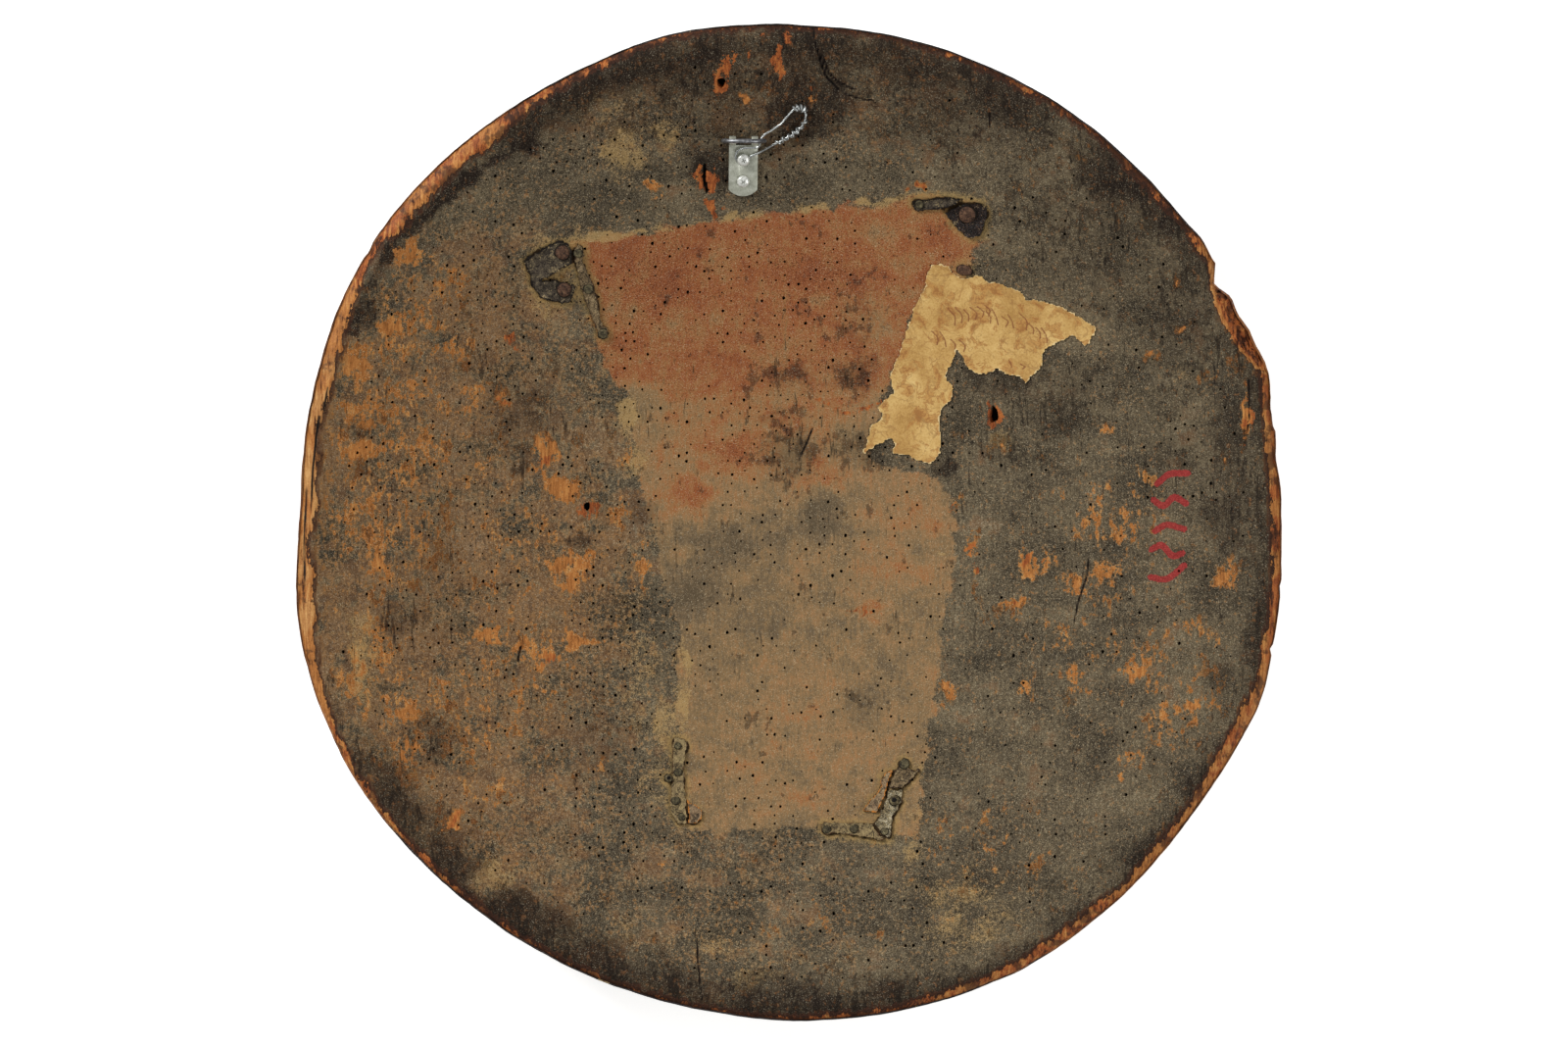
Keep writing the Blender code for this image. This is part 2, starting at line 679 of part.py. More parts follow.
make_laid_sheet(
    "leather_strip_lower_left",
    [
        (-65.2, -121.6), (-62.7, -121.1), (-59.7, -122.0), (-57.8, -124.1), (-57.4, -127.0),
        (-58.5, -131.2), (-59.5, -138.8), (-59.3, -147.2), (-58.5, -151.4), (-57.8, -155.7),
        (-55.3, -158.2), (-51.9, -160.3), (-49.4, -162.0), (-48.6, -164.9), (-49.8, -167.4),
        (-51.5, -170.0), (-56.2, -170.2), (-62.5, -170.4), (-64.6, -167.9), (-66.7, -163.2),
        (-67.1, -155.7), (-66.3, -147.2), (-65.8, -138.8), (-65.6, -126.2),
    ],
    LEATHER,
    leather,
    tacks_lower_left,
)
make_laid_sheet(
    "leather_strip_lower_right",
    [
        (19.2, -169.5), (24.7, -169.5), (33.8, -170.0), (42.0, -170.0), (47.2, -170.4),
        (50.0, -174.9), (53.0, -178.3), (56.1, -179.2), (52.0, -179.6), (45.7, -178.6),
        (38.4, -177.5), (32.9, -176.6), (26.0, -175.9), (20.1, -176.8), (18.5, -174.7),
        (18.3, -172.0),
    ],
    LEATHER,
    leather,
    tacks_lower_right[:2],
)
make_laid_sheet(
    "leather_corner_lower_right",
    [
        (48.4, -170.6), (51.1, -166.1), (53.4, -160.6), (55.9, -153.8), (56.8, -150.8),
        (61.2, -151.5), (65.0, -151.0), (63.9, -154.2), (64.1, -157.9), (61.2, -163.3),
        (59.3, -165.6), (58.4, -170.6), (58.0, -174.7), (57.9, -178.4), (54.3, -177.5),
        (51.1, -174.1),
    ],
    LEATHER,
    leather,
    (nail_lower_right, tacks_lower_right[2]),
)
make_laid_sheet(
    "leather_end_lower_right",
    [
        (60.5, -139.6), (63.2, -138.4), (63.8, -135.0), (67.2, -135.0), (68.9, -139.4),
        (71.2, -140.8), (74.8, -138.7), (73.5, -141.4), (69.8, -145.1), (66.2, -149.4),
        (65.3, -150.2), (61.2, -150.4), (56.9, -149.8), (57.3, -147.4), (58.9, -143.7),
    ],
    LEATHER,
    leather,
    (tacks_lower_right[3],),
)
make_laid_sheet(
    "leather_flap_lower_right",
    [
        (51.8, -146.5), (53.0, -144.2), (56.6, -141.0), (59.4, -139.8), (57.8, -143.7),
        (56.3, -147.4), (55.9, -150.1), (55.1, -153.3), (52.7, -158.8), (50.7, -164.0),
        (47.5, -163.9), (42.0, -163.3), (41.6, -162.7), (45.7, -157.4), (49.3, -153.8),
        (52.3, -149.7),
    ],
    LEATHER,
    leather,
)
make_laid_sheet(
    "paper_label",
    [
        (80.8, 146.1), (85.2, 146.6), (90.2, 145.1), (95.1, 139.7), (99.0, 138.2),
        (103.9, 139.2), (107.8, 140.7), (112.8, 136.3), (117.7, 136.3), (124.5, 133.8),
        (133.4, 129.4), (133.9, 126.5), (143.2, 125.5), (153.0, 122.5), (162.8, 117.1),
        (174.1, 110.7), (169.7, 100.9), (166.8, 99.9), (162.8, 103.9), (160.4, 106.3),
        (156.9, 103.9), (150.1, 101.4), (144.2, 97.0), (143.2, 93.1), (144.2, 89.1),
        (138.3, 84.2), (134.4, 78.8), (130.4, 83.2), (123.6, 83.7), (118.6, 87.2),
        (111.8, 83.7), (105.9, 84.7), (100.5, 88.2), (98.0, 94.1), (95.1, 98.5),
        (93.1, 91.1), (88.7, 83.2), (93.6, 76.4), (92.1, 69.5), (87.2, 65.6),
        (85.2, 57.7), (86.7, 44.9), (85.2, 38.1), (81.3, 33.6), (73.5, 35.1),
        (67.6, 38.1), (59.7, 39.1), (58.7, 42.0), (60.7, 44.9), (57.8, 47.9),
        (49.9, 44.0), (43.0, 39.1), (42.0, 42.5), (45.0, 45.9), (44.5, 48.9),
        (46.9, 55.7), (52.3, 58.7), (52.8, 61.6), (50.4, 65.6), (53.8, 69.5),
        (59.7, 74.4), (57.3, 83.2), (62.7, 97.0), (67.6, 111.7), (71.5, 123.5),
        (77.4, 134.3), (77.4, 139.2),
    ],
    PAPER,
    paper,
)

make_strap(screw_cutters)
make_ring()
make_wire()
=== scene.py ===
import math
import random
from functools import partial

import bmesh
import bpy
import numpy as np
from mathutils import Matrix, Vector, noise


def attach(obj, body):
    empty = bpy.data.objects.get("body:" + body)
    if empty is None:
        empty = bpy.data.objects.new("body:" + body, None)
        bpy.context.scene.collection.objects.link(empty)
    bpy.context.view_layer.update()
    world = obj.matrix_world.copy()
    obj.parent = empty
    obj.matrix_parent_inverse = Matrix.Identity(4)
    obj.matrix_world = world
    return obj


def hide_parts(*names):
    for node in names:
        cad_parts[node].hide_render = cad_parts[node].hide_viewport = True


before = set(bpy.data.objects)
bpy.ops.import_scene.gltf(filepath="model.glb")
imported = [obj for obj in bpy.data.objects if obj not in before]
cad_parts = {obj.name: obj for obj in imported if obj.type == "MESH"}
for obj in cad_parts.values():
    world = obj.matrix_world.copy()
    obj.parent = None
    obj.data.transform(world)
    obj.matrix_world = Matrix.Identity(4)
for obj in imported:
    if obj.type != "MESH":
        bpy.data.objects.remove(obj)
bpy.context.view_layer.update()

MM = 0.001


# The view: from straight above, far off, with the hanger at the top of the picture.
# Soft light, stronger from the upper left than from the lower right, over a pale glowing table.

FRAME_WIDTH = 880.0 * MM
EYE_HEIGHT = 5.6
RIM_HEIGHT = 66.0 * MM


def new_object(name, data):
    """An object of the scene, at its origin."""
    item = bpy.data.objects.new(name, data)
    bpy.context.scene.collection.objects.link(item)
    return item


eye = bpy.data.cameras.new("eye")
eye.sensor_width = 36.0
eye.lens = eye.sensor_width * (EYE_HEIGHT - RIM_HEIGHT) / FRAME_WIDTH
eye.clip_end = 50.0
camera = new_object("camera", eye)
camera.location = (-2.7 * MM, -0.3 * MM, EYE_HEIGHT)
bpy.context.scene.camera = camera

for name, place, size, watts in (
    ("key_light", (-2.1, 1.7, 1.7), 0.9, 86.0),
    ("fill_light", (2.2, -0.9, 1.9), 1.6, 35.0),
):
    lamp = bpy.data.lights.new(name, "AREA")
    lamp.size = size
    lamp.energy = watts
    light = new_object(name, lamp)
    light.location = place
    light.rotation_euler = (-Vector(place)).to_track_quat("-Z", "Y").to_euler()

sky = bpy.data.worlds.new("studio")
sky.use_nodes = True
glow = sky.node_tree.nodes["Background"].inputs
glow["Color"].default_value = (1.0, 1.0, 1.0, 1.0)
glow["Strength"].default_value = 0.4
bpy.context.scene.world = sky
bpy.context.scene.view_settings.view_transform = "Standard"


def linear(hex_colour):
    """An sRGB hex colour as linear RGBA."""
    parts = [int(hex_colour[k : k + 2], 16) / 255.0 for k in (0, 2, 4)]
    return (*[c / 12.92 if c <= 0.04045 else ((c + 0.055) / 1.055) ** 2.4 for c in parts], 1.0)


def feed(material, item, inputs):
    """Gives a node its inputs: each is a value, a colour in hex, or an output to link from."""
    for key, value in inputs.items():
        if isinstance(value, bpy.types.NodeSocket):
            material.node_tree.links.new(value, item.inputs[key])
        else:
            item.inputs[key].default_value = linear(value) if isinstance(value, str) else value


def add_node(material, kind, inputs, output=0, stops=(), **settings):
    """Adds a node with its settings, colour stops and inputs, and returns one of its outputs."""
    item = material.node_tree.nodes.new(kind)
    for name, value in settings.items():
        setattr(item, name, value)
    if stops:
        elements = item.color_ramp.elements
        while len(elements) < len(stops):
            elements.new(0.5)
        for element, (at, colour) in zip(elements, stops):
            element.position = at
            element.color = linear(colour)
    feed(material, item, inputs)
    return item.outputs[output]


def new_material(name):
    """A material, and its coordinates in metres."""
    material = bpy.data.materials.new(name)
    material.use_nodes = True
    return material, add_node(material, "ShaderNodeTexCoord", {}, "Object")


def finish_shader(material, inputs):
    """Gives the material's own shader its inputs."""
    feed(material, material.node_tree.nodes["Principled BSDF"], inputs)


table_top, _ = new_material("white_laminate")
finish_shader(
    table_top,
    {
        "Base Color": "f4f4f2",
        "Roughness": 0.8,
        "Emission Color": "ffffff",
        "Emission Strength": 0.55,
    },
)
bm = bmesh.new()
bmesh.ops.create_grid(bm, x_segments=1, y_segments=1, size=6.0)
table_mesh = bpy.data.meshes.new("table")
bm.to_mesh(table_mesh)
bm.free()
table_mesh.materials.append(table_top)
new_object("table", table_mesh)


# The hanging wire: galvanised stranded steel, 1.1 mm thick, tied round the neck of the upper
# screw. It runs through the ring, out to a loop, and back to the screw, and its two tails are
# twisted round it at the loop. Bright zinc, with each strand casting a fine dark line.

BACK_SPHERE = 640.0 * MM
WALL = 11.5 * MM
FRONT_SPHERE = BACK_SPHERE + WALL
REST_SPOT_RADIUS = 50.0 * MM
SPHERE_CENTRE = math.sqrt(FRONT_SPHERE**2 - REST_SPOT_RADIUS**2)
HANGER_X = -25.7 * MM
HANGER_Y = 200.3 * MM
WIRE_DIAMETER = 1.1 * MM
WIRE_LAY = 7.0 * MM


def back_height(radius):
    """Height of the hollow back at a distance from the middle."""
    return SPHERE_CENTRE - math.sqrt(BACK_SPHERE**2 - radius**2)


def back_frame(x, y):
    """Matrix of a place on the back: Z out of the wood, X level across, Y up towards the hanger."""
    normal = Vector((-x, -y, math.sqrt(BACK_SPHERE**2 - x**2 - y**2))) / BACK_SPHERE
    across = Vector((0.0, 1.0, 0.0)).cross(normal).normalized()
    up = normal.cross(across)
    place = Vector((x, y, back_height(math.hypot(x, y))))
    return Matrix.Translation(place) @ Matrix((across, up, normal)).transposed().to_4x4()


def smooth_route(points, step):
    """Points a step apart on the smooth curve through a route's own points."""
    ends = [points[0] * 2 - points[1]] + points + [points[-1] * 2 - points[-2]]
    fine = []
    for before, start, end, after in zip(ends, ends[1:], ends[2:], ends[3:]):
        for k in range(20):
            t = k / 20.0
            bend = (2.0 * before - 5.0 * start + 4.0 * end - after) * t**2
            twist = (3.0 * start - before - 3.0 * end + after) * t**3
            fine.append(0.5 * (2.0 * start + (end - before) * t + bend + twist))
    fine.append(points[-1])
    lengths = [(b - a).length for a, b in zip(fine, fine[1:])]
    count = round(sum(lengths) / step)
    spacing = sum(lengths) / count
    route = [fine[0]]
    passed = 0.0
    for length, start, end in zip(lengths, fine, fine[1:]):
        while len(route) < count and passed + length >= len(route) * spacing:
            route.append(start.lerp(end, (len(route) * spacing - passed) / length))
        passed += length
    return route + [fine[-1]]


def path_frames(path, closed=False):
    """A frame at each point of a path, Z along it, carried on without twisting."""
    frames = []
    side = None
    for k, place in enumerate(path):
        if closed:
            along = path[(k + 1) % len(path)] - path[k - 1]
        else:
            along = path[min(k + 1, len(path) - 1)] - path[max(k - 1, 0)]
        along = along.normalized()
        if side is None:
            side = along.orthogonal()
        side = (side - along * side.dot(along)).normalized()
        turn = Matrix((side, along.cross(side), along)).transposed().to_4x4()
        frames.append(Matrix.Translation(place) @ turn)
    return frames


def rod(path, radius, sides, lobes=0, groove=0.0, lay=1.0, closed=False, taper=0.0):
    """A rod along the path; its lobes are strands laid round it, one turn to each lay length."""
    frames = path_frames(path, closed)
    bm = bmesh.new()
    bmesh.ops.create_circle(bm, segments=sides, radius=radius)
    edges = bm.edges[:]
    verts = bm.verts[:]
    first_angles = {vert: math.atan2(vert.co.y, vert.co.x) for vert in verts}
    first_edges = edges
    angles = first_angles
    run = 0.0
    for k, place in enumerate(frames):
        if k:
            run += (place.translation - frames[k - 1].translation).length
            made = bmesh.ops.extrude_edge_only(bm, edges=edges)["geom"]
            fresh = {item for item in made if isinstance(item, bmesh.types.BMVert)}
            old_place = frames[k - 1].inverted()
            angles = {}
            for vert in fresh:
                flat = old_place @ vert.co
                angles[vert] = math.atan2(flat.y, flat.x)
            edges = [
                item
                for item in made
                if isinstance(item, bmesh.types.BMEdge) and set(item.verts) <= fresh
            ]
        nearness = min(k, len(frames) - 1 - k) / 3.0
        width = radius * (1.0 - taper * max(0.0, 1.0 - nearness))
        for vert, angle in angles.items():
            strand = math.cos(lobes * angle - math.tau * run / lay) if lobes else 1.0
            reach = width * (1.0 - groove * (1.0 - strand) / 2.0)
            vert.co = place @ Vector((reach * math.cos(angle), reach * math.sin(angle), 0.0))
    if closed:
        bmesh.ops.bridge_loops(bm, edges=edges + first_edges)
    else:
        bmesh.ops.edgeloop_fill(bm, edges=edges)
        bmesh.ops.edgeloop_fill(bm, edges=first_edges)
    bmesh.ops.recalc_face_normals(bm, faces=bm.faces)
    return bm


def as_mesh(name, bm, sharp):
    """The bmesh as a mesh, smooth but for its edges sharper than an angle in degrees."""
    mesh = bpy.data.meshes.new(name)
    bm.to_mesh(mesh)
    bm.free()
    mesh.shade_smooth()
    mesh.set_sharp_from_angle(angle=math.radians(sharp))
    return mesh


def add_piece(name, mesh, material, body="shield", stands_for=(), slot=None):
    """A finished piece of the shield: the body it rides and the CAD it replaces. Its slot is not
    used.
    """
    mesh.materials.append(material)
    piece = new_object(name, mesh)
    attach(piece, body)
    if stands_for:
        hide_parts(*stands_for)
    return piece


def new_piece(name, bm, material, sharp=40.0, **fixing):
    return add_piece(name, as_mesh(name, bm, sharp), material, **fixing)


# Hot-dip zinc on drawn steel: pale grey, slightly dull, with darker tarnish in the grooves.
wire_zinc, place = new_material("galvanised_steel_wire")
tarnish = add_node(
    wire_zinc, "ShaderNodeTexNoise", {"Vector": place, "Scale": 900.0, "Detail": 3.0}
)
finish_shader(
    wire_zinc,
    {
        "Base Color": add_node(
            wire_zinc, "ShaderNodeMix", {0: tarnish, 6: "5e615f", 7: "e2e6e4"}, 2, data_type="RGBA"
        ),
        "Roughness": add_node(
            wire_zinc, "ShaderNodeMapRange", {"Value": tarnish, "To Min": 0.5, "To Max": 0.28}
        ),
        "Metallic": 0.9,
    },
)

wire_points = [
    back_frame(HANGER_X, HANGER_Y) @ Vector((x * MM, y * MM, height * MM))
    for x, y, height in (
        (1.3, 3.1, 2.7), (-0.3, 2.7, 2.7), (-2.2, 3.4, 2.7), (-3.9, 5.2, 2.7), (-4.5, 7.6, 2.7),
        (-3.4, 10.4, 3), (-0.8, 12.1, 3.4), (3, 12.6, 3.9), (6.6, 12.8, 4.4), (8.6, 13.7, 5),
        (9.2, 16.2, 5.7), (9.8, 18.9, 5.7), (12, 21, 5.2), (15.8, 23.2, 4.4), (20.2, 26.2, 3.9),
        (23.4, 29.8, 3.9), (26.4, 33.6, 4.1), (30, 36.3, 4.3), (33.2, 35.4, 4.2), (34.6, 31.6, 3.9),
        (33.4, 26.6, 3.6), (29, 21.2, 3.2), (22, 17, 2.8), (15, 13, 2.6), (8.6, 9.4, 2.7),
        (5.4, 7.9, 2.7), (3.4, 6.6, 2.7), (2.7, 5.2, 2.7),
    )
]
wire_path = smooth_route(wire_points, 0.35 * MM)
hanging_wire = new_piece(
    "hanging_wire_strands",
    rod(wire_path, WIRE_DIAMETER / 2.0, 24, lobes=6, groove=0.28, lay=WIRE_LAY),
    wire_zinc,
    stands_for=("hanging_wire",),
    slot="wire_steel",
)

# The tails: each is one fine strand wound round the wire, from a place along it to another,
# given as shares of the wire's length, with its turns and its distance from the wire's middle.
for name, start, end, turns, reach, thick in (
    ("wire_tail_upper", 0.512, 0.578, 4.2, 1.5, 0.72),
    ("wire_tail_lower", 0.625, 0.835, 6.0, 1.15, 0.55),
    ("wire_tail_return", 0.800, 0.680, 4.0, 1.5, 0.48),
):
    frames = path_frames(wire_path)
    steps = int(turns * 14)
    winding = []
    for k in range(steps + 1):
        share = start + (end - start) * k / steps
        at = share * (len(frames) - 1)
        low = min(int(at), len(frames) - 2)
        middle = frames[low].translation.lerp(frames[low + 1].translation, at - low)
        angle = math.tau * turns * k / steps
        lift = reach * MM * (1.0 + 0.13 * math.sin(2.3 * angle))
        swing = frames[low].to_3x3() @ Vector((math.cos(angle), math.sin(angle), 0.0))
        winding.append(middle + swing * lift)
    new_piece(name, rod(winding, thick * MM, 8, taper=0.5), wire_zinc, slot="wire_steel")


# The wooden dish: poplar boards glued edge to edge, grain towards the hanger, hollowed by hand
# to 11 mm thick. Old, dirty, riddled with worm, and rubbed back to bare wood at the rim; a piece
# has broken from the rim at the upper right.

RIM_RADIUS = 280.1
LAND_WIDTH = 9.0
CELL = 2.5
GROUND_THICKNESS = 1.0
WORM_HOLES = 1700
# Where the worn rim stands out or in: its angle and width in degrees, its height (mm).
RIM_SWELLINGS = (
    (1.9, 9, -3.2), (7.6, 2.2, -1.9), (17.5, 2.3, 2.1), (34.5, 2, 1.5), (103.3, 8.3, 2.2),
    (163.7, 10, -4.5), (169.4, 38.1, 3.3), (178.5, 10.5, -7.6), (208.3, 11.9, 2.3),
    (251.4, 15.7, -2.3), (297.1, 14.7, 2.7), (339.2, 6.8, 3.1),
)
# The broken edge from its lower end to its upper, as places on the rim (mm).
BREAK_EDGE = (
    (272.8, 51.4), (270, 73.4), (267.3, 88.8), (265.6, 93.8), (262.9, 98.2), (255.5, 112.6),
    (248, 126.8), (246.4, 130.1), (243.1, 130.6), (242, 132.3), (239, 135), (239, 148.8),
)


def unit(values):
    """Values held between 0 and 1."""
    return np.clip(values, 0.0, 1.0)


def bell(away, width):
    """A soft bump: 1 in the middle, about a third at its width."""
    return np.exp(-((away / width) ** 2))


def angle_of(x, y):
    """Angle of a place in degrees from +X towards +Y."""
    return math.degrees(math.atan2(y, x))


break_angles = [angle_of(x, y) for x, y in BREAK_EDGE]
break_radii = [math.hypot(x, y) for x, y in BREAK_EDGE]


def sound_rim(angle):
    """Radius of the worn but unbroken rim at angles in degrees from +X towards +Y, in mm."""
    angle = np.asarray(angle, float)
    radius = np.full(angle.shape, RIM_RADIUS)
    for middle, width, height in RIM_SWELLINGS:
        turn = (angle - middle + 180.0) % 360.0 - 180.0
        radius = radius + height * bell(turn, width)
    return radius


ragged_turns = np.arange(0.0, 360.5, 0.25)
ragged_edge = []
for turn in np.radians(ragged_turns):
    place = Vector((math.cos(turn), math.sin(turn), 0.3))
    ragged_edge.append(
        0.5 * noise.fractal(place * 15.0, 0.8, 2.1, 4) + 0.45 * noise.noise(place * 4.0)
    )


def broken_rim(angle):
    """Radius of the rim with its break and its small nicks, in mm."""
    angle = (np.asarray(angle, float) + 360.0) % 360.0
    radius = sound_rim(angle)
    inside = (angle > break_angles[0]) & (angle < break_angles[-1])
    edge = np.interp(angle, break_angles, break_radii)
    ragged = np.interp(angle, ragged_turns, ragged_edge)
    radius = np.where(inside, np.minimum(radius + 1.0, edge + 3.2 * ragged), radius + ragged)
    for middle, width, depth in ((345.4, 0.5, 1.6), (147.2, 0.7, 0.8), (352.6, 0.6, 0.9)):
        turn = (angle - middle + 180.0) % 360.0 - 180.0
        radius = radius - depth * bell(turn, width)
    return radius - 1.3


def segment_distance(x, y, points):
    """Distance of places to a line of points, and how far along it the nearest one is."""
    nearest = np.full(x.shape, 1e9)
    share = np.zeros(x.shape)
    runs = [math.dist(a, b) for a, b in zip(points, points[1:])]
    passed = 0.0
    for (ax, ay), (bx, by), run in zip(points, points[1:], runs):
        t = unit(((x - ax) * (bx - ax) + (y - ay) * (by - ay)) / run**2)
        away = np.hypot(x - ax - t * (bx - ax), y - ay - t * (by - ay))
        closer = away < nearest
        nearest = np.where(closer, away, nearest)
        share = np.where(closer, (passed + t * run) / sum(runs), share)
        passed += run
    return nearest, share


def inside_outline(x, y, outline):
    """Whether places lie inside a closed outline."""
    inside = np.zeros(x.shape, bool)
    for (ax, ay), (bx, by) in zip(outline, outline[1:] + outline[:1]):
        if ay != by:
            crosses = ((ay > y) != (by > y)) & (x < ax + (y - ay) * (bx - ax) / (by - ay))
            inside ^= crosses
    return inside


def wander(x, y, scale, seed, stretch=1.0, octaves=3):
    """Smooth noise from -1 to 1 at each place; scale is its grain in mm, stretch is along Y."""
    return np.array(
        [
            noise.fractal((a / scale, b / (scale * stretch), seed), 0.8, 2.1, octaves)
            for a, b in zip(x, y)
        ]
    )


# Splits, worn grooves and old slots: their line (mm), their width and depth (mm).
SPLITS = (
    (
        [(13.2, 279.5), (14.9, 268.7), (18.2, 257.7), (20.9, 250.5), (27.5, 243.9), (31.9, 241.2)],
        0.8,
        1.7,
    ),
    ([(19, 262), (22.5, 253), (28, 247.5), (35.5, 244), (41, 243)], 0.7, 1.2),
    ([(31.9, 241.2), (39, 238.5), (47, 237.5), (52, 233)], 0.9, 0.8),
    ([(-47, -279.6), (-50.1, -256.6), (-52.3, -229.1), (-51, -222)], 0.6, 1),
    ([(169.4, -20.1), (168, -31), (163.5, -44), (160.6, -58.6)], 1.2, 0.7),
    ([(-47.2, 201.6), (-47.8, 193.5), (-45.6, 185)], 1.4, 3.4),
    ([(13.4, 53.5), (10, 45), (6, 36.5)], 1.3, 0.8),
    ([(-64, 0), (-63.4, -40)], 0.7, 0.4),
    ([(-151.5, -70), (-153, -79)], 1.2, 1.5),
    ([(112.7, 230), (113.2, 220)], 1.6, 1),
    ([(-264, 60), (-267, 30), (-268.5, 4)], 1.3, 1.3),
    ([(-259, 76), (-262.5, 50)], 1, 1),
    ([(-271, 20), (-272, -20), (-270.5, -48)], 1.2, 1.2),
    ([(258, 80), (258.6, 62), (256.4, 45)], 2.2, 0.8),
    ([(-241, -30), (-244.5, -60), (-243, -92)], 1.4, 0.6),
    ([(-226, -88), (-231, -120)], 1.2, 0.5),
    ([(-150, -232), (-120, -215), (-96, -196)], 1, 0.35),
    ([(-176, -190), (-150, -168), (-128, -158)], 1, 0.35),
    ([(-198, -158), (-176, -140), (-150, -131)], 1, 0.35),
    ([(150, -196), (205, -170)], 0.8, 0.3),
    ([(95, -212), (150, -203), (188, -190)], 0.8, 0.3),
)
# Old holes that nothing is left in: place, half width, half height, depth (mm).
OLD_HOLES = ((-38, 247.2, 2.6, 2.9, 7), (115.8, 61.2, 2.7, 4.8, 7.5), (-114.2, 9.4, 1.9, 2.5, 6))
# Where the wood round the break is torn away: the edge of the sound surface (mm).
TORN_FROM = [
    (231.6, 157), (236.5, 134), (238.2, 121.8), (243.1, 111.9), (249, 100), (262, 86), (275, 80),
]
TORN_SIDE = [*TORN_FROM, (300, 60), (300, 170), (240, 170)]
# Old red paint strokes on the right of the back (mm).
RED_STROKES = (
    [(204, -30.5), (213, -31.5), (222.5, -24)],
    [(204.5, -15), (210, -12.5), (216, -18.5), (221.5, -17)],
    [(206.5, -4.5), (213, -1), (222.5, -3.5)],
    [(205.5, 13), (211, 9.5), (217, 14.5), (223.5, 11)],
    [(207.5, 22), (214.5, 27.5), (224.5, 28)],
)


def grid_within(outline_radius, cell):
    """A flat square grid cut to a round outline, whose edge is drawn out to it."""
    bm = bmesh.new()
    half = 2 * math.ceil((RIM_RADIUS + 6.0) / cell / 2.0)
    bmesh.ops.create_grid(bm, x_segments=2 * half, y_segments=2 * half, size=half * cell)
    outside = []
    for vert in bm.verts:
        reach = float(outline_radius(angle_of(vert.co.x, vert.co.y)))
        if vert.co.length > reach - 0.55 * cell:
            outside.append(vert)
    bmesh.ops.delete(bm, geom=outside, context="VERTS")
    for vert in bm.verts:
        if vert.is_boundary:
            vert.co *= float(outline_radius(angle_of(vert.co.x, vert.co.y))) / vert.co.length
    return bm


def refine(bm, near):
    """Cuts finer the cells whose middle is near something."""
    faces = [face for face in bm.faces if near(face.calc_center_median())]
    edges = list({edge for face in faces for edge in face.edges})
    bmesh.ops.subdivide_edges(bm, edges=edges, cuts=1, use_grid_fill=True)


def sink_holes(bm, faces, size_of, tilt=0.0):
    """Makes each face a round hole: inset, rounded and driven down; size_of gives its size."""
    bmesh.ops.inset_individual(bm, faces=faces, thickness=0.25, use_even_offset=True)
    for face in faces:
        x, y, half_width, half_height, _ = size_of(face.calc_center_bounds())
        for vert in face.verts:
            angle = math.atan2(vert.co.y - y, vert.co.x - x)
            ragged = 1.0 + 0.1 * math.sin(3.0 * angle + x) + 0.06 * math.sin(5.0 * angle + y)
            vert.co.x = x + half_width * ragged * math.cos(angle)
            vert.co.y = y + half_height * ragged * math.sin(angle)
    for face in bmesh.ops.extrude_discrete_faces(bm, faces=faces)["faces"]:
        x, y, _, _, depth = size_of(face.calc_center_bounds())
        for vert in face.verts:
            vert.co.x = x + (vert.co.x - x) * 0.8 + tilt * depth
            vert.co.y = y + (vert.co.y - y) * 0.8
            vert.co.z -= depth


dice = random.Random(41)
bm = grid_within(lambda angle: broken_rim(angle) - LAND_WIDTH, CELL)

# Worm holes, 1 to 2 mm across: thickest at the left and under the lost arm pad.
worm_holes = {}
while len(worm_holes) < WORM_HOLES:
    x = dice.uniform(-266.0, 266.0)
    y = dice.uniform(-266.0, 266.0)
    crowd = 0.85 if x < 10.0 else 0.6 if x < 80.0 else 0.24
    if y < -185.0 or y > 225.0 or (-70.0 < x < 80.0 and y < -30.0):
        crowd *= 0.5
    clump = noise.noise((x / 38.0, y / 38.0, 5.0))
    cell = (round(x / CELL), round(y / CELL))
    near_split = any(math.dist((x, y), place) < 7.0 for line, *_ in SPLITS for place in line)
    near_hole = any(math.dist((x, y), hole[:2]) < 9.0 for hole in OLD_HOLES)
    beside = any((cell[0] + i, cell[1] + j) in worm_holes for i in (-1, 0, 1) for j in (-1, 0, 1))
    near_edge = math.hypot(x, y) > float(broken_rim(angle_of(x, y))) - LAND_WIDTH - 11.0
    if near_edge or near_split or near_hole or beside:
        continue
    if dice.random() > crowd * (0.7 + 1.3 * clump):
        continue
    width = 0.52 + 0.45 * dice.random() ** 2.0
    shift = (dice.uniform(-0.6, 0.6), dice.uniform(-0.6, 0.6))
    worm_holes[cell] = (shift, width, width * dice.uniform(0.9, 1.25), dice.uniform(2.2, 3.4))
bored = []
for vert in bm.verts:
    if (round(vert.co.x / CELL), round(vert.co.y / CELL)) in worm_holes and not vert.is_boundary:
        bored.append(vert)
bmesh.ops.dissolve_verts(bm, verts=bored)
pits = [face for face in bm.faces if len(face.verts) == 8]


def worm_size(middle):
    cell = (round(middle.x / CELL), round(middle.y / CELL))
    shift, half_width, half_height, depth = worm_holes[cell]
    return (cell[0] * CELL + shift[0], cell[1] * CELL + shift[1], half_width, half_height, depth)


sink_holes(bm, pits, worm_size)

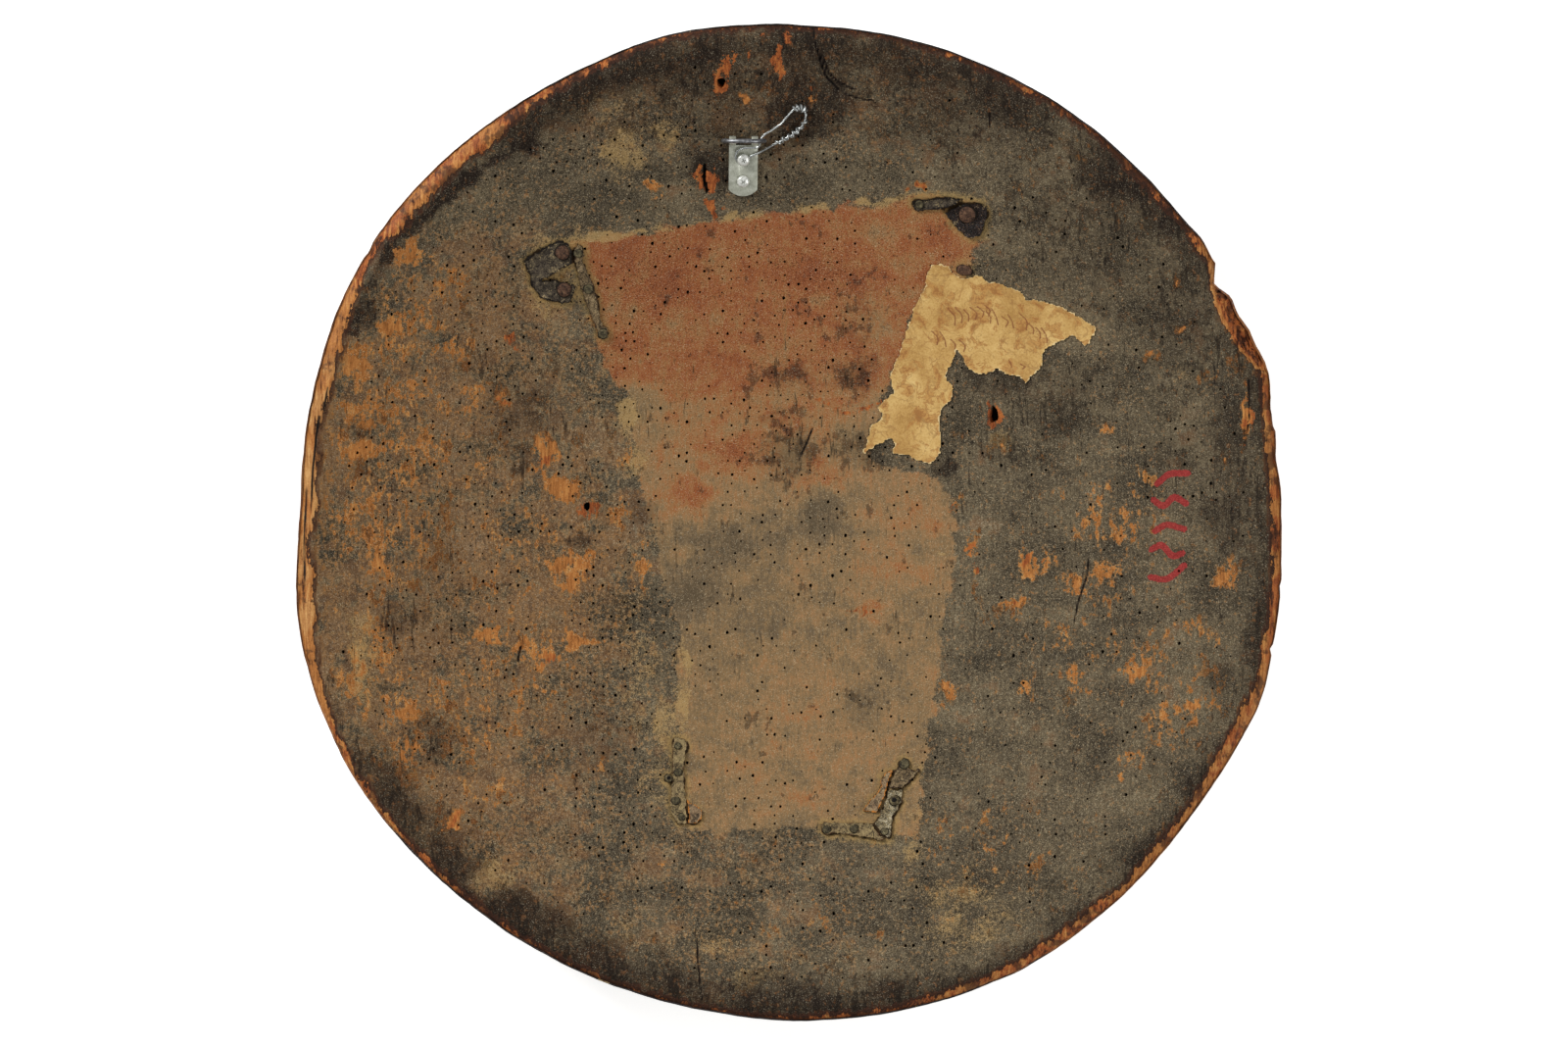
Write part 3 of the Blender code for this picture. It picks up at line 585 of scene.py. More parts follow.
# The bigger old holes.
for hole in OLD_HOLES:
    x, y, half_width, half_height, _ = hole
    covered = []
    for face in bm.faces:
        middle = face.calc_center_median()
        if math.hypot(
            (middle.x - x) / (half_width + 1.5), (middle.y - y) / (half_height + 1.5)
        ) < 1.0:
            covered.append(face)
    mouth = bmesh.ops.dissolve_faces(bm, faces=covered, use_verts=True)["region"]
    sink_holes(bm, mouth, lambda middle, hole=hole: hole, tilt=0.12)

# Finer cells along the splits, at the break and under the red strokes.
split_points = []
for line, *_ in SPLITS:
    for (ax, ay), (bx, by) in zip(line, line[1:]):
        count = math.ceil(math.dist((ax, ay), (bx, by)) / 2.0)
        for k in range(count + 1):
            split_points.append((ax + (bx - ax) * k / count, ay + (by - ay) * k / count))
split_cells = {(round(x / 2.0), round(y / 2.0)) for x, y in split_points}


def near_a_split(p):
    cells = [(round(p.x / 2.0) + i, round(p.y / 2.0) + j) for i in (-1, 0, 1) for j in (-1, 0, 1)]
    return abs(p.z) < 1e-6 and not split_cells.isdisjoint(cells)


refine(bm, near_a_split)
refine(bm, lambda p: p.x > 225.0 and 70.0 < p.y < 165.0)
refine(bm, lambda p: 202.0 < p.x < 227.0 and -38.0 < p.y < 34.0)


def outer_ring(bm, edges, place):
    """Extrudes an open edge; place gives each new point's radius and height from its angle."""
    made = bmesh.ops.extrude_edge_only(bm, edges=edges)["geom"]
    fresh = {item for item in made if isinstance(item, bmesh.types.BMVert)}
    for vert in fresh:
        reach, height = place(angle_of(vert.co.x, vert.co.y))
        vert.co *= reach / vert.co.to_2d().length
        vert.co.z = height
    return [e for e in made if isinstance(e, bmesh.types.BMEdge) and set(e.verts) <= fresh]


# The worn land at the rim: rings out and down from the edge of the hollow.
edge = [e for e in bm.edges if e.is_boundary]
for inset, drop in (
    (7.2, 0.35), (5.6, 0.8), (4, 1.3), (2.6, 1.85), (1.2, 2.6), (0.3, 3.5), (0, 4.6), (0.2, 6.2),
):
    edge = outer_ring(bm, edge, lambda angle: (float(broken_rim(angle)) - inset, -drop))

# The relief of the back, added along the surface's own normal.
bm.verts.ensure_lookup_table()
co = np.array([vert.co for vert in bm.verts])
x, y, height = co.T
radius = np.hypot(x, y)
angle = np.degrees(np.arctan2(y, x))
inward = broken_rim(angle) - radius
flat = height > -0.01
relief = 0.35 * wander(x, y, 60.0, 1.0, 1.4) + 0.12 * wander(x, y, 13.0, 2.0, 2.5)
lower_left = np.exp(-(((x + 150.0) / 75.0) ** 2) - ((y + 175.0) / 65.0) ** 2)
gouged = np.abs(np.sin((x * 0.62 - y * 0.78) / 4.6 + 1.3 * wander(x, y, 40.0, 3.0)))
relief += lower_left * 0.35 * (gouged - 0.6)
for line, width, depth in SPLITS:
    away, share = segment_distance(x, y, line)
    away = away + 0.35 * np.sin(share * len(line) * 9.0)
    groove = unit(1.0 - away / width) * unit(8.0 * (1.0 - share))
    relief -= depth * groove * flat
torn, _ = segment_distance(x, y, TORN_FROM)
torn_side = inside_outline(x, y, TORN_SIDE)
torn = np.where(torn_side & (y > 84.0) & (y < 158.0), torn, 0.0)
fibres = wander(x + 0.22 * y, y, 1.5, 7.0, 9.0, 2)
relief -= np.minimum(torn, 13.0) * 0.30 * (y < 140.0) + np.clip(torn, 0.0, 2.0) * 1.1 * fibres
at_rim = unit(1.0 - inward / 11.0)
left_rim = at_rim * unit((-x - 215.0) / 30.0)
rim_fibres = wander(x, y, 1.6, 9.0, 12.0, 2)
relief += left_rim * (0.9 * rim_fibres - 0.5) + at_rim * 0.35 * wander(x, y, 5.0, 4.0)
for vert, lift in zip(bm.verts, relief):
    x0, y0, z0 = vert.co
    reach = math.hypot(x0, y0)
    on_back = min(reach, float(sound_rim(angle_of(x0, y0))) - LAND_WIDTH)
    normal = Vector((-x0, -y0, math.sqrt((BACK_SPHERE / MM) ** 2 - reach**2))).normalized()
    out_of_wood = Vector((0.0, 0.0, 1.0)) if reach > on_back else normal
    ground = Vector((x0 * MM, y0 * MM, back_height(on_back * MM)))
    vert.co = ground + out_of_wood * (z0 + lift) * MM


# The front of the wood, under its painted ground, is a plain dome with a flat spot.
def front_height(radius):
    return SPHERE_CENTRE - math.sqrt(FRONT_SPHERE**2 - max(radius, REST_SPOT_RADIUS) ** 2)


def under_ground(ring, angle):
    """Radius and height of the wood under its painted ground; without a ring, at the rim."""
    reach = (float(broken_rim(angle)) - 0.9 if ring is None else ring) * MM
    return reach, front_height(reach) + GROUND_THICKNESS * MM


for ring in (None, 245.0, 205.0, 165.0, 125.0, 85.0, 50.0):
    edge = outer_ring(bm, edge, partial(under_ground, ring))
bmesh.ops.edgeloop_fill(bm, edges=edge)
bmesh.ops.recalc_face_normals(bm, faces=bm.faces)
boards = as_mesh("dish_of_boards", bm, 60.0)


def points_of(mesh):
    """The x, y and height of a mesh's points, in millimetres."""
    co = np.empty(len(mesh.vertices) * 3)
    mesh.vertices.foreach_get("co", co)
    return co.reshape(-1, 3).T / MM


# Where each kind of wear lies, and where shade is painted, as one number for each point of the
# mesh.
# Places and sizes are in millimetres: x, y, half width, half height, strength.
x, y, height = points_of(boards)
radius = np.hypot(x, y)
angle = np.degrees(np.arctan2(y, x)) % 360.0
inward = broken_rim(angle) - radius
sunk = SPHERE_CENTRE / MM - np.sqrt(np.maximum((BACK_SPHERE / MM) ** 2 - radius**2, 0.0)) - height
ragged_x = x + 6.0 * wander(x, y, 11.0, 61.0, 1.0, 5)
ragged_y = y + 6.0 * wander(x, y, 11.0, 62.0, 1.0, 5)


def patches(*spots):
    """The strongest of a set of soft ragged patches at each point."""
    strongest = np.zeros(x.shape)
    for px, py, half_width, half_height, strength in spots:
        away = ((ragged_x - px) / half_width) ** 2 + ((ragged_y - py) / half_height) ** 2
        strongest = np.maximum(strongest, strength * np.exp(-(away**1.5)))
    return strongest


# The mark of the lost arm pad: red-brown above, browner below.
PAD_MARK = [
    (-123, 158), (-58, 166.5), (-25, 171.5), (25, 177.5), (77, 182), (107, 181), (105.5, 162),
    (104, 141), (95, 134), (70, 122), (60, 90), (46, 44), (46, 33), (83, 25), (93, 14), (93, -15),
    (88, -48), (80, -113), (75, -147), (71, -174), (-62, -174), (-63, -100), (-63, -60), (-77, -30),
    (-81, 0), (-85, 30), (-91, 62), (-108, 103), (-119.5, 146),
]
pad_away, _ = segment_distance(x, y, PAD_MARK + PAD_MARK[:1])
pad_edge = np.where(inside_outline(x, y, PAD_MARK), pad_away, -pad_away)
pad_tint = 1.15 * unit((y + 5.0) / 95.0) - 0.35 + 0.2 * unit((-y - 60.0) / 40.0)
pad_tint += patches(
    (-56, 13, 13, 12, 0.8), (-28, 40, 24, 12, 0.8), (22, 27, 15, 9, 0.6), (73, 2, 15, 13, 0.5),
    (58, -28, 28, 8, 0.55), (41, -50, 15, 5, 0.9), (-2, 52, 7, 5, 0.8), (-78, 140, 26, 22, 0.35),
    (20, 142, 34, 12, 0.4), (60, -4, 9, 20, 0.3), (-30, -150, 30, 14, 0.12),
)
pad_tint -= patches(
    (19, 4, 15, 14, 0.75), (-25, -15, 28, 12, 0.45), (-58, -40, 20, 24, 0.6),
    (41, -103, 12, 12, 0.5), (-5, 20, 12, 8, 0.35), (58, -80, 16, 10, 0.3), (60, 62, 22, 12, 0.75),
    (42, 44, 24, 14, 0.6), (0, 42, 20, 12, 0.45), (-84, 62, 14, 16, 0.8), (50, 112, 12, 20, 0.4),
    (0, -60, 24, 8, 0.25),
)
pad_fade = bell(y + 22.0, 36.0) * unit((20.0 - x) / 60.0)
pad_fade = np.maximum(
    pad_fade,
    patches((-74.0, -30.0, 14.0, 50.0, 1.0), (-88.0, 60.0, 9.0, 16.0, 0.6)),
)

stain, _ = segment_distance(
    x,
    y,
    [
        (-40, 263), (-85, 253), (-125, 243), (-140, 237), (-148, 214), (-162, 207), (-182, 191),
        (-207, 171), (-222, 160), (-236, 128), (-247, 108),
    ],
)
stain = stain + 1.8 * wander(x, y, 8.0, 70.0, 1.0, 4)
# Dirt inside the rim, by its angle: how dark it is, and how wide (mm).
rim_dark_turn = (0, 30, 45, 62, 90, 120, 132, 160, 198, 208, 225, 240, 265, 285, 300, 320, 342, 360)
rim_dark_depth = (
    0.65, 0.8, 0.85, 0.9, 0.85, 0.9, 0.5, 0.2, 0.3, 0.8, 0.95, 0.95, 0.95, 0.8, 0.7, 0.7, 0.7, 0.65,
)
rim_dark_width = (14, 20, 26, 28, 28, 22, 15, 10, 10, 18, 25, 23, 20, 16, 13, 11, 14, 14)
rim_depth = np.interp(angle, rim_dark_turn, rim_dark_depth)
rim_width = np.interp(angle, rim_dark_turn, rim_dark_width)
dark = rim_depth * bell(np.maximum(inward - 5.0, 0.0), rim_width)
dark *= 0.85 + 0.55 * wander(x, y, 34.0, 68.0)
dark = np.maximum(dark, 0.8 * bell(stain, 4.0))
drip = 3.4 + 2.6 * wander(x, y, 21.0, 65.0) - stain
drip = np.maximum(
    drip,
    11.0 * patches((-147.0, 211.0, 10.0, 8.0, 1.0), (-244.0, 112.0, 8.0, 12.0, 0.9)) - 8.0,
)
# Among these patches, those round x 4 to 12, y 226 to 236 are the painted shadow of the hanging
# wire's loop.
dark = np.maximum(
    dark,
    patches(
        (-30, 236, 70, 34, 0.45), (35, 258, 90, 24, 0.5), (12, 236, 32, 18, 0.9),
        (-52, 247, 34, 13, 0.7), (11, 226, 16, 10, 1), (-6, 248, 22, 12, 0.7),
        (90, 236, 70, 34, 0.5), (-148, 214, 11, 7, 1), (-240, 118, 9, 10, 0.9),
        (180, 170, 60, 62, 0.42), (222, 120, 30, 55, 0.5), (248, 50, 16, 50, 0.55),
        (150, 62, 26, 16, 0.5), (-192, -186, 46, 26, 0.3), (-150, 62, 30, 26, 0.42),
        (-178, 92, 18, 12, 0.35), (-239, 54, 11, 7, 0.5), (-241, 29, 9, 5, 0.5),
        (-153, 38, 12, 10, 0.45), (-222, -54, 18, 16, 0.45), (-117, -11, 9, 5, 0.6),
        (-170, 128, 26, 30, 0.2), (41, -103, 12, 14, 0.3), (88, 30, 7, 6, 0.8),
        (-84, 6, 9, 12, 0.4), (-110, -120, 24, 34, 0.3), (-2, 205, 26, 16, 0.25),
        (-44, 202, 17, 17, 0.75), (42, 42, 24, 15, 0.4), (0, 40, 22, 17, 0.5),
        (160, 80, 22, 16, 0.4), (38, 118, 18, 22, 0.35), (2, 82, 20, 15, 0.42),
        (36, 84, 18, 14, 0.5), (-200, -24, 20, 54, 0.28), (122, 84, 26, 18, 0.55),
        (122, 40, 18, 14, 0.4), (246, 4, 16, 30, 0.55), (222, 40, 26, 24, 0.35),
        (244, -84, 14, 20, 0.4), (-203, -122, 20, 18, 0.5), (-5, 62, 22, 6, 0.35),
        (-2, 53, 6, 5, 0.6), (4, 226, 20, 13, 1), (10, 232, 14, 9, 1),
    ),
)
dark -= patches(
    (-240, -80, 11, 30, 0.6), (-158, 198, 14, 10, 0.6), (84, -236, 28, 14, 0.65),
    (-40, -240, 24, 12, 0.55), (-160, -200, 22, 15, 0.22),
)
pale = patches(
    (-91, 62, 8, 15, 0.8), (-87, 38, 7, 14, 0.65), (-101, 92, 5, 14, 0.5),
    (-60, -78, 5.5, 16, 0.85), (-60.5, -104, 5, 18, 0.9), (-74, -146, 16, 26, 0.5),
    (-92, 208, 15, 17, 0.74), (-103, 236, 13, 12, 0.62), (-70, 218, 10, 18, 0.6),
    (-118, 226, 8, 8, 0.4), (-60, 192, 8, 10, 0.35), (-164, -199, 28, 14, 0.62),
    (-100, -230, 30, 12, 0.4), (-84, -84, 16, 62, 0.48), (98, -218, 54, 34, 0.5),
    (-24, -256, 22, 9, 0.58), (-44, -236, 30, 12, 0.42), (-70, -118, 11, 26, 0.62),
    (-120, 164, 16, 9, 0.45), (220, 84, 10, 8, 0.55), (71, -185, 9, 6, 0.7),
    (68, -165, 14, 20, 0.42), (-140, 158, 20, 8, 0.45), (-138, 122, 18, 8, 0.5),
    (-206, 18, 20, 30, 0.35), (90, -16, 4, 4, 0.8), (122, 48, 10, 7, 0.55), (30, -240, 60, 16, 0.3),
    (150, -90, 60, 60, 0.22), (-240, -76, 11, 36, 0.65), (0, -170, 66, 8, 0.35),
    (-205, 60, 18, 22, 0.35), (100, 205, 50, 24, 0.25),
)
near_top = bell(pad_edge + 1.0 + 4.0 * wander(x, y, 9.0, 63.0, 1.0, 4), 3.6)
near_top *= unit((y - 130.0) / 26.0) * (0.9 + 0.8 * wander(x, y, 17.0, 64.0))
pale = np.maximum(pale, near_top * np.where(x < 74.0, 0.75, 0.35))

# Bare wood at the rim, by its angle: how wide it is (mm), and how pale.
BARE_TURN = (
    0, 10, 16, 33, 38, 45, 55, 62, 75, 105, 118, 125, 133, 140, 148, 153, 160, 170, 180, 190, 198,
    205, 215, 225, 235, 245, 265, 280, 290, 300, 310, 318, 325, 335, 342, 350, 360,
)
BARE_WIDTH = (
    4, 3.5, 4, 3, 2.5, 2.5, 2, 2, 0.5, 1, 3.5, 6.5, 9, 8, 3.5, 6, 7.5, 7.5, 7, 8, 5, 2.5, 2, 2.5,
    1.5, 1, 1, 2, 3.5, 4.5, 4.5, 4, 4.5, 6.5, 4.5, 4, 4,
)
BARE_TONE = (
    0.3, 0.35, 0.35, 0.15, 0.12, 0.1, 0.08, 0.05, 0.0, 0.05, 0.1, 0.2, 0.28, 0.3, 0.25, 0.45, 0.7,
    0.8, 0.75, 0.75, 0.55, 0.35, 0.25, 0.2, 0.1, 0.05, 0.08, 0.12, 0.2, 0.25, 0.3, 0.3, 0.4, 0.35,
    0.35, 0.3, 0.3,
)
bare = np.interp(angle, BARE_TURN, BARE_WIDTH)
bare = bare * (1.0 + 0.45 * wander(x, y, 22.0, 66.0)) - inward
bare_tone = np.interp(angle, BARE_TURN, BARE_TONE) + 0.25 * wander(x, y, 16.0, 67.0)
torn, _ = segment_distance(x, y, TORN_FROM)
torn_side = inside_outline(x, y, TORN_SIDE) & (y > 82.0) & (y < 160.0)
torn_open = np.where(torn_side & (y < 140.0), unit((torn - 1.6) / 2.0), 0.0)
bare = np.where(torn_side, np.maximum(bare, torn), bare)
torn_tone = np.clip(1.15 - torn / 2.6, 0.2 + 0.2 * wander(x, y, 6.0, 69.0), 0.95)
bare_tone = np.where(torn_side, np.where(y > 134.0, 0.8, torn_tone), bare_tone)

scar = patches(
    (-214, 149, 12, 13, 0.68), (-221, 110, 14, 14, 0.66), (-190, 99, 16, 8, 0.55),
    (-192, 134, 16, 12, 0.48), (-238, 62, 14, 16, 0.6), (-242, 86, 11, 18, 0.62),
    (-243, -84, 10, 24, 0.55), (-242, 40, 11, 8, 0.75), (-206, 100, 26, 40, 0.35),
    (-180, 70, 9, 12, 0.5), (-162, 70, 6, 7, 0.65), (-138, 38, 9, 14, 0.78),
    (-130, 20, 13, 9, 0.68), (-209, -6, 12, 7, 0.6), (-231, -22, 12, 12, 0.6),
    (-216, -10, 36, 30, 0.4), (-124, -22, 14, 6, 0.8), (-126, -32, 10, 6, 0.62),
    (-167, -66, 11, 7, 0.7), (-120, -67, 14, 4.5, 0.75), (-136, -76, 14, 6, 0.72),
    (-150, -70, 14, 5, 0.55), (-141, -93, 14, 3, 0.55), (-161, -99, 8, 3, 0.6),
    (-188, -166, 7, 7, 0.75), (-213, -125, 12, 10, 0.68), (-217, -106, 14, 12, 0.6),
    (-107, -136, 5, 4, 0.6), (-148, -147, 22, 4, 0.5), (-74, -194, 4, 4, 0.65),
    (-230, -62, 16, 26, 0.42), (-94, 6, 8, 12, 0.45), (-90, 38, 7, 7, 0.5), (-82, -24, 7, 14, 0.5),
    (94, 7, 5, 10, 0.75), (103, -18, 4.5, 20, 0.6), (137, -25, 13, 11, 0.72),
    (126, -45, 13, 4, 0.68), (164, -36, 14, 10, 0.55), (179, -28, 14, 10, 0.58),
    (190, -4, 12, 20, 0.6), (198, 24, 9, 12, 0.62), (172, 2, 14, 22, 0.5), (174, 22, 10, 10, 0.5),
    (246, -30, 10, 13, 0.62), (236, -8, 6, 14, 0.5), (224, -59, 9, 8, 0.6), (239, -66, 7, 10, 0.6),
    (194, -84, 8, 6, 0.68), (204, -78, 6, 5, 0.5), (229, -103, 7, 12, 0.68), (239, -99, 8, 9, 0.62),
    (213, -106, 7, 12, 0.6), (162, -87, 11, 9, 0.62), (134, -95, 8, 5, 0.6), (90, -95, 7, 7, 0.62),
    (89, -83, 5, 5, 0.6), (160, -69, 16, 5, 0.6), (194, -132, 14, 5, 0.65), (188, -142, 5, 8, 0.6),
    (126, -132, 4, 5, 0.62), (210, -120, 18, 14, 0.42), (112, -186, 66, 36, 0.3),
    (30, -222, 80, 16, 0.24), (46, -30, 14, 9, 0.6), (40, -50, 16, 4, 0.55), (36, -14, 14, 6, 0.42),
    (-26.4, 236, 3.2, 5.5, 0.9), (-10, 243, 14, 6, 0.45), (14, 243, 5, 8, 0.65),
    (-76, 188, 9, 6, 0.55), (-84, 196, 6, 5, 0.5), (223, 109, 3, 8, 0.75), (205, 95, 5, 5, 0.7),
    (218, 136, 4, 6, 0.6), (234, 83, 6, 6, 0.55), (178, 51, 6, 5, 0.65), (119, 44, 9, 5, 0.6),
    (257, 62, 4, 20, 0.85), (252, 92, 8, 10, 0.55), (113, 224, 3, 5, 0.6), (245, 30, 4, 10, 0.6),
    (160, 205, 60, 26, 0.22), (196, 178, 16, 18, 0.35), (66, 270, 22, 5, 0.4),
    (73, 187.5, 14, 3, 0.7), (-228, 40, 44, 110, 0.36), (-165, 0, 62, 90, 0.2),
    (-190, -120, 60, 70, 0.26), (-120, -110, 46, 46, 0.15), (176, 0, 44, 34, 0.36),
    (165, -60, 70, 40, 0.3), (215, -90, 36, 50, 0.36),
)
vivid = patches(
    (-47, 193, 5.2, 11.5, 1), (-42, 177, 7, 5, 1), (-38, 249, 6, 7.5, 0.95),
    (-35, 259, 4.5, 8, 0.85), (-22, 262, 3.5, 4.5, 0.8), (-17.6, 275, 3, 4.5, 0.8),
    (-5.5, 259, 4.2, 10, 0.95), (0, 271, 3.5, 6, 0.8), (-156, 103, 4, 5, 0.85),
    (-162, 70, 4, 5, 0.75), (-138, 36, 6, 6, 0.75), (-134, -77, 9, 5, 0.8),
    (-188, -166, 5, 5, 0.75), (94.6, 7.4, 4, 7, 0.7), (103, -18, 2.5, 16, 0.7),
    (137, -20, 10, 5, 0.7), (126, -45, 9, 3, 0.65), (258, 60, 3, 20, 0.75), (-113, 8, 6, 8, 0.8),
    (115.8, 61, 5.8, 8.6, 0.95), (40, -50, 15, 3, 0.6), (14.4, 246, 4, 10, 0.6),
    (73, 187.5, 14, 2.5, 0.7),
)
scratch, _ = segment_distance(x, y, [(16, 70), (32, 63), (44, 64.5), (54, 70)])
vivid = np.maximum(vivid, 0.8 * bell(scratch, 1.8))
crack = np.full(x.shape, -9.0)
for line, width, depth in SPLITS:
    away, share = segment_distance(x, y, line)
    half_open = min(0.35 + 0.12 * depth, 0.9 * width) * np.clip(5.0 * (1.0 - share), 0.2, 1.0)
    crack = np.maximum(crack, half_open * (depth > 0.6) - away)
# Painted shade: the inside of each hole, from about 1 mm down and away from the rim, is darkened
# near black.
opened = unit((sunk - 0.9) / 0.8) * (inward > 10.0)
red_away = np.full(x.shape, 9.0)
for line in RED_STROKES:
    bow = [Vector((*point, 0.0)) for point in line]
    curved = [tuple(point.xy) for point in smooth_route(bow, 1.2)]
    red_away = np.minimum(red_away, segment_distance(x, y, curved)[0])


def sheet_outline(node):
    """The outline of a CAD sheet's upper side, in millimetres, in order, without its nail holes."""
    bm = bmesh.new()
    bm.from_mesh(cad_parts[node].data)
    bmesh.ops.remove_doubles(bm, verts=bm.verts, dist=1e-6)
    following = {}
    for face in bm.faces:
        for loop in face.loops if face.normal.z > 0.5 else ():
            if sum(other.normal.z > 0.5 for other in loop.edge.link_faces) == 1:
                following[loop.vert] = loop.link_loop_next.vert
    longest = []
    while following:
        vert = next(iter(following))
        outline = []
        while vert in following:
            outline.append((vert.co.x / MM, vert.co.y / MM))
            vert = following.pop(vert)
        if sum(map(math.dist, outline, outline[1:])) > sum(map(math.dist, longest, longest[1:])):
            longest = outline
    bm.free()
    return longest


# How far each point lies from the nearest scrap of leather or nail head.
scrap_away = np.full(x.shape, 30.0)
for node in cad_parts:
    if node.startswith("leather"):
        outline = sheet_outline(node)
        away, _ = segment_distance(x, y, outline + outline[:1])
        scrap_away = np.minimum(scrap_away, np.where(inside_outline(x, y, outline), 0.0, away))
    if node.startswith(("nail", "tack")):
        corners = np.array([corner.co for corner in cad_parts[node].data.vertices]) / MM
        low, high = corners.min(axis=0), corners.max(axis=0)
        away = np.hypot(x - (low[0] + high[0]) / 2.0, y - (low[1] + high[1]) / 2.0)
        scrap_away = np.minimum(scrap_away, np.maximum(away - (high[0] - low[0]) / 2.0, 0.0))
warm = unit((-x - 20.0) / 150.0) * np.clip((215.0 - y) / 130.0, 0.2, 1.0)
warm_foot = unit((-y - 100.0) / 80.0) * unit((100.0 - x) / 120.0)
warm = np.maximum(warm, 0.5 * warm_foot)
warm += 0.5 * patches((-115.0, -35.0, 30.0, 60.0, 1.0), (-165.0, 135.0, 40.0, 40.0, 0.8))
warm_top = unit((y - 195.0) / 30.0) * np.clip((150.0 - x) / 90.0, 0.2, 1.0)
warm = np.maximum(warm, 0.6 * warm_top)
masks = {
    "pad_edge": pad_edge,
    "pad_tint": pad_tint,
    "pad_fade": pad_fade,
    "dark": dark,
    "pale": pale,
    "bare": bare,
    "bare_tone": bare_tone,
    "scar": scar,
    "vivid": vivid,
    "opened": opened,
    "crack": crack,
    "red_away": red_away,
    "warm": warm,
    "drip": drip,
    "torn_open": torn_open,
    "scrap_away": scrap_away,
}


def store(mesh, values):
    """Keeps named numbers with the points of a mesh."""
    for name, numbers in values.items():
        layer = mesh.attributes.new(name, "FLOAT", "POINT")
        layer.data.foreach_set("value", np.asarray(numbers, np.float32))


def blend(material, values, start=0.0, **weights):
    """A sum of a material's named values, each with its weight."""
    total = start
    for name, weight in weights.items():
        terms = {0: values[name], 1: weight, 2: total}
        total = add_node(material, "ShaderNodeMath", terms, operation="MULTIPLY_ADD")
    return total


def cover(material, under, layers):
    """Lays colours over one another: each where its value climbs from its start to its full."""
    for value, start, full, colour, strength in layers:
        amount = add_node(
            material,
            "ShaderNodeMapRange",
            {"Value": value, "From Min": start, "From Max": full, "To Max": strength},
            interpolation_type="SMOOTHSTEP",
        )
        colours = {0: amount, 6: under, 7: colour}
        under = add_node(material, "ShaderNodeMix", colours, 2, data_type="RGBA")
    return under


# Poplar, hollowed with a gouge and never finished: grey-olive with four centuries of dirt, matt
# and grainy, speckled tan where the dirt has worn, and ochre to orange where it is rubbed bare.
store(boards, masks)
old_wood, place = new_material("old_poplar_wood")
along_grain, torn_grain, wiped = (
    add_node(
        old_wood,
        "ShaderNodeMapping",
        {"Vector": place, "Rotation": (0.0, 0.0, math.radians(turn)), "Scale": (*scale, 1.0)},
    )
    for turn, scale in ((0.0, (1.0, 0.12)), (0.0, (1.0, 0.5)), (-38.0, (0.3, 1.0)))
)
wood = {}
for name in masks:
    wood[name] = add_node(old_wood, "ShaderNodeAttribute", {}, "Fac", attribute_name=name)
# The grain of each noise in millimetres is about 1000 over its scale.
for name, vector, scale, detail, roughness in (
    ("cloud", place, 30.0, 3.0, 0.55),
    ("blotch", place, 105.0, 4.0, 0.6),
    ("smear", wiped, 70.0, 4.0, 0.6),
    ("flake", torn_grain, 300.0, 8.0, 0.66),
    ("film", place, 75.0, 8.0, 0.66),
    ("speck", place, 520.0, 3.0, 0.65),
    ("grit", place, 1700.0, 1.0, 0.5),
    ("fibre", along_grain, 700.0, 3.0, 0.65),
    ("streak", along_grain, 210.0, 5.0, 0.7),
    ("crease", wiped, 240.0, 3.0, 0.6),
):
    wood[name] = add_node(
        old_wood,
        "ShaderNodeTexNoise",
        {"Vector": vector, "Scale": scale, "Detail": detail, "Roughness": roughness},
    )
of_wood = partial(blend, old_wood, wood)

# Every sum below has noises whose weights come to 1, so it lies round 0.5 before its masks.
wood["tone"] = of_wood(cloud=0.22, smear=0.18, speck=0.24, grit=0.22, fibre=0.14)
wood["fine"] = of_wood(speck=0.45, grit=0.55)
wood["patchy"] = of_wood(cloud=0.3, blotch=0.4, smear=0.3)
pad_value = of_wood(-0.16, pad_tint=0.16, patchy=0.65, film=0.22, fibre=0.25, speck=0.2)
bared = of_wood(fibre=0.5, streak=0.3, grit=0.2)
shown = of_wood(blotch=0.45, fibre=0.3, grit=0.25)
for name, value, stops in (
    (
        "cool_film",
        wood["tone"],
        ((0.36, "211d17"), (0.44, "3e3629"), (0.5, "594e3c"), (0.56, "6e614a"), (0.64, "90856d")),
    ),
    (
        "brown_film",
        wood["tone"],
        ((0.36, "2a2118"), (0.44, "50402c"), (0.5, "6d5a41"), (0.56, "877253"), (0.64, "aa997e")),
    ),
    (
        "pad_wood",
        pad_value,
        (
            (0.3, "5a4c38"), (0.38, "6c5a42"), (0.45, "7f6747"), (0.52, "906f4a"), (0.58, "96683f"),
            (0.66, "90542f"), (0.76, "783f24"), (0.88, "4b2417"),
        ),
    ),
    ("shown_wood", shown, ((0.38, "5f3c20"), (0.45, "8c5829"), (0.52, "a76a33"), (0.6, "b6844a"))),
    ("rubbed", bared, ((0.36, "66401f"), (0.44, "8c582c"), (0.52, "a76c38"), (0.62, "bd864a"))),
    ("ochre", bared, ((0.36, "68401f"), (0.44, "9a683a"), (0.53, "b17f4a"), (0.64, "cb9f66"))),
    ("rusty", bared, ((0.36, "452213"), (0.45, "7b4021"), (0.53, "9e592d"), (0.64, "b8763b"))),
    ("dark_red", bared, ((0.36, "1d120d"), (0.46, "3c2419"), (0.54, "5d3520"), (0.64, "8f5229"))),
    ("red_paint", wood["fine"], ((0.36, "762421"), (0.5, "8f2c2c"), (0.64, "a23a36"))),
):
    wood[name] = add_node(old_wood, "ShaderNodeValToRGB", {"Fac": value}, stops=stops)

